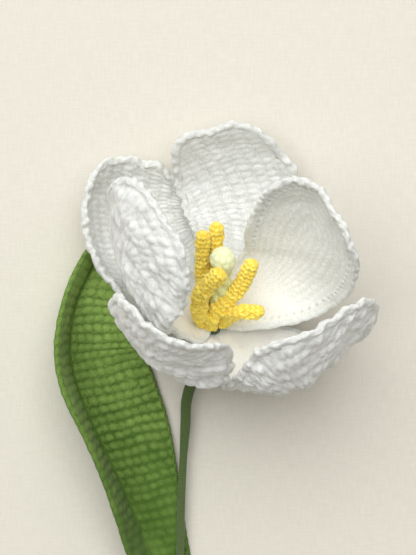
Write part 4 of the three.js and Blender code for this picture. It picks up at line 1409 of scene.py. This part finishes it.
@dataclass
class Leaf:
    """A long leaf of short stitches, folded along its wired midrib."""

    head: Head = Head()
    midline: tuple[Point, ...] = (
        (-36.5, 31.0, 1.5), (-41.2, 21.0, 1.4), (-46.2, 10.7, 1.35), (-48.7, 0.5, 1.35),
        (-49.4, -8.1, 1.35), (-48.0, -16.6, 1.35), (-43.9, -28.5, 1.35), (-39.2, -38.7, 1.35),
        (-31.0, -55.8, 1.35), (-22.1, -76.2, 1.35), (-15.3, -93.3, 1.5), (-11.5, -108.6, 1.9),
        (-10.9, -124.0, 2.35),
    )
    # Share of the way from tip to tail, half width, fold and roll in degrees, and fold radius
    stations: tuple[tuple[float, ...], ...] = (
        (0.0, 3.0, 30, 28, 4.0), (0.05, 8.5, 37, 35, 4.0), (0.12, 15.0, 43, 40, 3.5),
        (0.2, 21.0, 45, 41, 3.0), (0.33, 26.5, 46, 42, 3.0), (0.43, 26.0, 47, 43, 3.0),
        (0.5, 24.0, 46, 42, 3.0), (0.58, 20.0, 43, 40, 3.0), (0.7, 14.5, 36, 33, 3.0),
        (0.85, 9.0, 31, 27, 3.0), (0.93, 5.8, 80, 5, 2.75), (1.0, 4.4, 96, 0, 2.6),
    )
    half_thickness: float = 0.72
    edge_radius: float = 0.8
    edge_twist: float = 0.22
    relief: float = 0.5
    midrib: float = 0.1
    midrib_width: float = 0.9
    straighten: float = 0.7
    tip_round: float = 0.03

    HALF_AROUND = 94
    EDGE = 5
    RINGS = 352
    EDGE_INSET = 1.0
    LEAST_HALF = 0.15
    LEAST_TIP = 0.04
    TIP_THIN = 0.5
    LEVEL_STEPS = 4
    MIDRIB_END = (0.55, 0.75)
    EDGE_SLANT = 0.15
    EDGE_POWER = 0.7

    # The stitches. A wobble is its seed, size and length, a bar's height is a least share and
    # a random share, and other pairs are where a change starts and ends
    MANY = 1000.0
    UNEVEN = 0.75
    STAGGER = 0.15
    ROW_WAVER = (53, 0.1, 16.0)
    STITCH_WAVER = (51, 0.2, 13.0)
    LUMPS = (52, 0.14, 10.0)
    LUMPS_FROM = (0.0, 0.1)
    ROW_POWER = 0.6
    BAR = 7.0
    BAR_POWER = 0.5
    BAR_HEIGHT = (0.55, 0.45)
    BAR_SHARE = 0.85
    BARS_FROM = (0.5, 3.0)

    # The leaf's painted light: painted shade between rows and darker towards the tail, and
    # painted light near the tip, which the flower head shades, and on the left strip. Darker gives
    # how much, and between which shares of the leaf
    CRISP = 0.65
    CRISP_FROM = (0.3, 0.5)
    FLAT_PAINTED_LIGHT = 0.75
    GAP_SHADE = 0.5
    TIP_LIGHT = 0.25
    TIP_LIGHT_TO = (0.05, 0.35)
    DARKER = ((0.45, 0.05, 0.3), (0.55, 0.35, 0.7))
    DARK_PAINTED_LIGHT = (1.1, 0.2)
    LEFT_LIGHT = 0.4
    LEFT_FROM = (1.0, 4.0)
    EDGE_PAINTED_LIGHT = 0.3

    def between(self, share: Array) -> Array:
        """The stations' values at shares of the leaf, by cubics through them.

        Args:
            share: shares of the way from tip to tail (n,).

        Returns:
            Half width, fold, roll and fold radius as columns (n, 4).
        """
        table = np.array(self.stations)
        at, values = table[:, 0], table[:, 1:]
        low = np.maximum(np.arange(len(at)) - 1, 0)
        high = np.minimum(np.arange(len(at)) + 1, len(at) - 1)
        slope = (values[high] - values[low]) / columns(at[high] - at[low])
        cell = np.clip(np.searchsorted(at, share, side="right") - 1, 0, len(at) - 2)
        width = columns(at[cell + 1] - at[cell])
        t = columns(share - at[cell]) / width
        return (
            (2 * t**3 - 3 * t**2 + 1) * values[cell]
            + (t**3 - 2 * t**2 + t) * width * slope[cell]
            + (3 * t**2 - 2 * t**3) * values[cell + 1]
            + (t**3 - t**2) * width * slope[cell + 1]
        )

    def section(self, across: Array, fold: Array, roll: Array, radius: Array,
                ) -> tuple[Array, Array, Array, Array]:
        """The folded section: an arc at the midrib with straight halves, rolled on one half.

        Args:
            across: distance from the midrib along the section, in mm.
            fold: slope of each straight half, in radians.
            roll: how far the section turns, in radians.
            radius: radius of the arc.

        Returns:
            Sideways and upward places, and the same of the unit tangent.
        """
        bent = np.minimum(np.abs(across), radius * fold)
        straight = np.abs(across) - bent
        angle = bent / radius
        sign = np.sign(across)
        x = sign * (radius * np.sin(angle) + straight * np.cos(fold))
        y = radius * (1.0 - np.cos(angle)) + straight * np.sin(fold)
        slope = sign * angle - roll
        cos, sin = np.cos(roll), np.sin(roll)
        return x * cos + y * sin, y * cos - x * sin, np.cos(slope), np.sin(slope)

    def _ring(self) -> tuple[Array, Array]:
        """One ring: round the left edge, over the top, round the right edge and back below.

        Returns:
            Share of the half width, and turn about the section in radians (around,).
        """
        flat = np.linspace(-1.0, 1.0, self.HALF_AROUND - 2 * self.EDGE + 1)
        bend = np.linspace(0.0, 90.0, self.EDGE, endpoint=False)
        across = np.concatenate([np.full(self.EDGE, -1.0), flat, np.full(self.EDGE, 1.0)[1:]])
        turn = np.concatenate([180.0 - bend, np.full(len(flat), 90.0), bend[::-1][:-1]])
        # The lower half mirrors the upper one, from the right edge's outermost point
        across = np.concatenate([across, [1.0], across[:0:-1]])
        turn = np.concatenate([turn, [0.0], -turn[:0:-1]])
        return across, np.radians(turn)

    def _rows(self, x: Array, distance: Array, heading: Array) -> Array:
        """The row of stitches that each point is on, counted from the tip.

        Right of the midrib the rows bend less than the midline does: level = distance plus x
        times tan(how much straighter they are at that level), found in a few steps.

        Args:
            x: distance from the midrib (rings, around).
            distance: the rings' distances along the midline (rings,).
            heading: the midline's directions (rings, 3).

        Returns:
            The row's number and the share of the way across it (rings, around).
        """
        turned = np.unwrap(np.arctan2(heading[:, 1], heading[:, 0]))
        straighter = self.straighten * (turned.mean() - turned)
        right = np.maximum(x, 0.0)
        level = columns(distance) + right * np.tan(columns(straighter))
        for _ in range(self.LEVEL_STEPS):
            level = columns(distance) + right * np.tan(np.interp(level, distance, straighter))
        return level / LEAF_STITCH.across + Wobble(*self.ROW_WAVER).at(x, columns(distance))

    def _worked(self, x: Array, distance: Array, rows: Array) -> tuple[Array, Array]:
        """Heights from 0 to 1 of the stitches and of the plain rows.

        Left of the midrib the stitches give way to bars along the rows.

        Args:
            x: distance from the midrib (rings, around).
            distance: the rings' distances along the midline (rings,).
            rows: the row of each point (rings, around).

        Returns:
            Stitches and plain rows, each (rings, around).
        """
        row = np.floor(rows)
        uneven = Wobble(*self.STITCH_WAVER).at(x, columns(distance))
        stitch_u = x / LEAF_STITCH.along + self.STAGGER * (row % 2) + uneven
        stitch = LEAF_STITCH.relief(stitch_u, rows - row, row, self.MANY, self.UNEVEN)
        ridge = np.abs(np.sin(math.pi * (rows - row))) ** self.ROW_POWER
        block = x / self.BAR + 0.5 * (row % 2)
        bar = np.abs(np.sin(math.pi * (block - np.floor(block)))) ** self.BAR_POWER
        least, more = self.BAR_HEIGHT
        bar = bar * (least + more * scatter(row + 31.0 * np.floor(block), 9.0))
        return lerp(stitch, ridge * bar, self.BAR_SHARE * ease(-x, *self.BARS_FROM)), ridge

    def _painted_light(self, share: Array, x: Array, row: Array, stitch: Array, ridge: Array,
              ) -> tuple[Array, Array]:
        """The faces' painted light, and how dark they are: painted shade between rows and darker
        towards the tail, painted light near the tip and on the left.

        Args:
            share: the rings' shares of the leaf (rings,).
            x: distance from the midrib (rings, around).
            row: number of each point's row (rings, around).
            stitch: height of the stitches (rings, around).
            ridge: height of the plain rows (rings, around).

        Returns:
            Painted light (rings, around) and darkness (rings, 1).
        """
        crisp = columns(lerp(self.CRISP, 1.0, ease(share, *self.CRISP_FROM)))
        gap = scatter(row, 5.0) * (1.0 - ridge) * crisp
        near_tip = 1.0 - columns(ease(share, *self.TIP_LIGHT_TO))
        painted_light = lerp(self.FLAT_PAINTED_LIGHT, stitch, crisp) - self.GAP_SHADE * gap
        # Painted light near the tip, where the flower head shades the leaf
        painted_light = painted_light + self.TIP_LIGHT * near_tip
        # Painted shade: darker towards the tail
        dark = columns(sum(part * ease(share, start, end) for part, start, end in self.DARKER))
        times, less = self.DARK_PAINTED_LIGHT
        painted_light = lerp(painted_light, times * painted_light - less, dark)
        # Painted light on the left strip, which the fold turns away from the lamp
        return painted_light + self.LEFT_LIGHT * ease(-x, *self.LEFT_FROM), dark

    def build(self) -> bpy.types.Object:
        """Makes the leaf in place of its CAD node.

        A point lies on the section, moved along its normal by sin(turn) and outwards by
        cos(turn) of the local radius: half the thickness plus midrib and stitches on the
        faces, and a twisted bead on the edges.
        """
        route = Route(self.head.over_ground(list(self.midline)))
        share = np.linspace(0.0, 1.0, self.RINGS)
        distance = share * route.length
        half_width, fold, roll, radius = (columns(v) for v in self.between(share).T)
        fold, roll = np.radians(fold), np.radians(roll)
        tip = np.clip(share / self.tip_round, self.LEAST_TIP, 1.0)
        tip = columns(np.sqrt(1.0 - (1.0 - tip) ** 2))
        inner = np.maximum(half_width * tip - self.EDGE_INSET, self.LEAST_HALF)
        across, turn = self._ring()
        x = across * inner
        place_x, place_y, run_x, run_y = self.section(x, fold, roll, radius)
        heading = route.heading(distance)
        rows = self._rows(x, distance, heading)
        stitch, ridge = self._worked(x, distance, rows)
        on_face = np.abs(np.sin(turn)) > 0.999
        midrib = np.exp(-((x / self.midrib_width) ** 2))
        midrib = midrib * (1.0 - ease(columns(share), *self.MIDRIB_END))
        edge_bump = np.abs(np.cos(math.pi * (rows - self.EDGE_SLANT * turn))) ** self.EDGE_POWER
        face = self.half_thickness + self.relief * stitch * (1.0 - midrib)
        face = face + self.midrib * midrib
        bead = self.edge_radius + self.edge_twist * edge_bump
        local = np.where(on_face, face, bead) * lerp(self.TIP_THIN, 1.0, tip)
        lump = Wobble(*self.LUMPS).at(x, columns(distance))
        lump = lump * ease(columns(share), *self.LUMPS_FROM)
        rise = local * np.sin(turn) + lump
        outward = local * np.cos(turn)
        px = place_x + run_x * outward - run_y * rise
        py = place_y + run_y * outward + run_x * rise
        side = unit(np.cross([0.0, 0.0, 1.0], heading))
        up = np.cross(heading, side)
        rings = rings_round(route.at(distance), side, up, px, py)
        painted_light, dark = self._painted_light(share, x, np.floor(rows), stitch, ridge)
        # Painted shade in the midrib's crease, and on the edge beads except their twists' tops
        painted_light = np.where(on_face, lerp(painted_light, 0.0, midrib), self.EDGE_PAINTED_LIGHT * edge_bump)
        marks = {"painted_light": painted_light, "tint_and_shade": np.broadcast_to(dark, painted_light.shape).copy()}
        piece = Skin("crochet_leaf", rings, Cap.ZIP, marks).build()
        LEAF_YARN.dress(piece, "leaf")
        return piece


@dataclass
class Tie:
    """Yarn wound round the leaf's tail and the stem."""

    centre: Point = (-10.9, -121.0, 4.75)
    length: float = 13.0
    inner: float = 3.85
    wall: float = 0.75
    coils: int = 11
    head: Head = Head()

    AROUND = 96
    OUTER_ROWS = 120
    INNER_ROWS = 8
    COIL_POWER = 0.6
    # Where the ends' rounding starts, how long it is and how far it goes, as shares
    ENDS = (0.46, 0.04, 0.95)
    # Shares of the wall between the coils, and that a coil adds
    WALL = (0.45, 0.55)

    def build(self) -> bpy.types.Object:
        """Makes the winding in place of its CAD node.

        It is a tube round the stem. Outer radius = inner radius plus the wall, less a groove
        between coils, |sin(pi (coils along + turn))|, so that the coils form a spiral.
        """
        turn = np.linspace(0.0, 1.0, self.AROUND, endpoint=False)[:, None]
        along = np.linspace(-0.5, 0.5, self.OUTER_ROWS)
        coil = np.abs(np.sin(math.pi * (self.coils * (along + 0.5) + turn))) ** self.COIL_POWER
        start, long, most = self.ENDS
        ends = np.sqrt(1.0 - np.clip((np.abs(along) - start) / long, 0.0, most) ** 2)
        least, more = self.WALL
        outer = self.inner + self.wall * (least + more * coil) * ends
        back = np.linspace(0.5, -0.5, self.INNER_ROWS)
        bore = np.full((self.AROUND, self.INNER_ROWS), self.inner)
        radius = np.concatenate([outer, bore], axis=1)
        place = np.concatenate([along, back]) * self.length
        angle = 2.0 * math.pi * turn
        x, y, z = self.head.over_ground([self.centre])[0]
        rings = np.stack([
            x + radius * np.cos(angle), y + np.broadcast_to(place, radius.shape),
            z + radius * np.sin(angle),
        ], axis=-1)
        # Painted shade in the grooves between coils and in the bore
        painted_light = np.concatenate([coil, np.zeros_like(bore)], axis=1)
        piece = Skin("wound_tie", rings, Cap.RING, {"painted_light": painted_light, "tint_and_shade": 0.0 * painted_light}).build()
        STEM_YARN.dress(piece, "leaf_tie")
        return piece


# ---------------------------------------------------------------------------- studio


@dataclass(frozen=True)
class Lamp:
    """A soft square lamp that looks at the flower from a direction."""

    name: str
    towards: Point
    distance: float
    size: float
    power: float
    colour: Colour = (1.0, 1.0, 1.0)


@dataclass
class Studio:
    """Pale floor, soft light and a camera that looks straight down."""

    head: Head = Head()
    camera_from_receptacle: Point = (-1.65, 16.67, 600.0)
    focal_pixels: float = 1818.0
    picture_height: float = 555.0
    sensor: float = 36.0
    floor_size: float = 6.0
    floor_colour: Colour = (0.69, 0.655, 0.575)
    sky: Colour = (1.0, 0.94, 0.82)
    sky_strength: float = 0.2
    lamps: tuple[Lamp, ...] = (
        Lamp("key", (-0.12, 0.38, 0.92), 1.5, 1.9, 39.5, (0.97, 0.988, 1.0)),
        Lamp("fill", (0.8, 0.5, 0.45), 1.6, 1.4, 2.5, (0.975, 0.99, 1.0)),
        Lamp("glow", (-0.7, 0.6, 0.4), 1.6, 1.4, 1.5, (1.0, 0.98, 0.95)),
    )

    THREAD = (0.55, 5.0)
    DARKER = 0.88

    def camera(self) -> None:
        """The photograph's camera, upright, with the picture's top along +Y."""
        data = bpy.data.cameras.new("camera")
        data.sensor_fit = "VERTICAL"
        data.sensor_height = self.sensor
        data.lens = self.focal_pixels / self.picture_height * self.sensor
        data.clip_start = 0.01
        camera = bpy.data.objects.new("camera", data)
        camera.location = [
            (a + b) * MM for a, b in zip(self.head.receptacle, self.camera_from_receptacle)
        ]
        bpy.context.scene.collection.objects.link(camera)
        bpy.context.scene.camera = camera

    def floor(self) -> None:
        """A plain pale sheet at height 0, with a faint weave."""
        half = self.floor_size / 2.0
        corners = [(-half, -half, 0), (half, -half, 0), (half, half, 0), (-half, half, 0)]
        mesh = bpy.data.meshes.new("floor")
        mesh.from_pydata(corners, [], [(0, 1, 2, 3)])
        graph = Graph("pale_floor")
        weave = graph.threads(*self.THREAD) + graph.threads(*self.THREAD[::-1])
        darker = tuple(self.DARKER * c for c in self.floor_colour)
        colour = graph.mix(weave - 0.5, darker, self.floor_colour)
        mesh.materials.append(graph.finish({"Base Color": colour, "Roughness": 0.95,
                                            "Specular IOR Level": 0.1}))
        floor = bpy.data.objects.new("floor", mesh)
        bpy.context.scene.collection.objects.link(floor)

    def light(self) -> None:
        """Soft lamps and an even sky."""
        aim = np.array(self.head.receptacle) * MM
        for lamp in self.lamps:
            data = bpy.data.lights.new(lamp.name, "AREA")
            data.shape = "SQUARE"
            data.size = lamp.size
            data.energy = lamp.power
            data.color = lamp.colour
            made = bpy.data.objects.new(lamp.name, data)
            towards = unit(np.array(lamp.towards))
            made.location = aim + towards * lamp.distance
            made.rotation_euler = look_along(-towards)
            bpy.context.scene.collection.objects.link(made)
        world = bpy.data.worlds.new("sky")
        world.use_nodes = True
        back = world.node_tree.nodes["Background"]
        back.inputs["Color"].default_value = (*self.sky, 1.0)
        back.inputs["Strength"].default_value = self.sky_strength
        bpy.context.scene.world = world
        bpy.context.scene.view_settings.view_transform = "Standard"

    def build(self) -> None:
        """Sets up the camera, floor and light."""
        self.camera()
        self.floor()
        self.light()
        LOG.info("studio ready")


def look_along(direction: Array) -> tuple[float, float, float]:
    """Euler angles that turn an object's -Z axis along a direction."""
    x, y, z = direction
    return (math.acos(-z), 0.0, math.atan2(x, -y) + math.pi)


def main() -> None:
    """Builds the tulip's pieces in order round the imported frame."""
    logging.basicConfig(level=logging.INFO, format="%(message)s")
    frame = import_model()
    Studio().build()
    for petal in PETALS:
        petal.build()
    for stamen in STAMENS:
        stamen.build()
    Pistil().build()
    Stem().build()
    Leaf().build()
    Tie().build()
    WIRE.keep(frame["nodes"], "leaf_wire", "stem_core_wire")


if __name__ == "__main__":
    main()
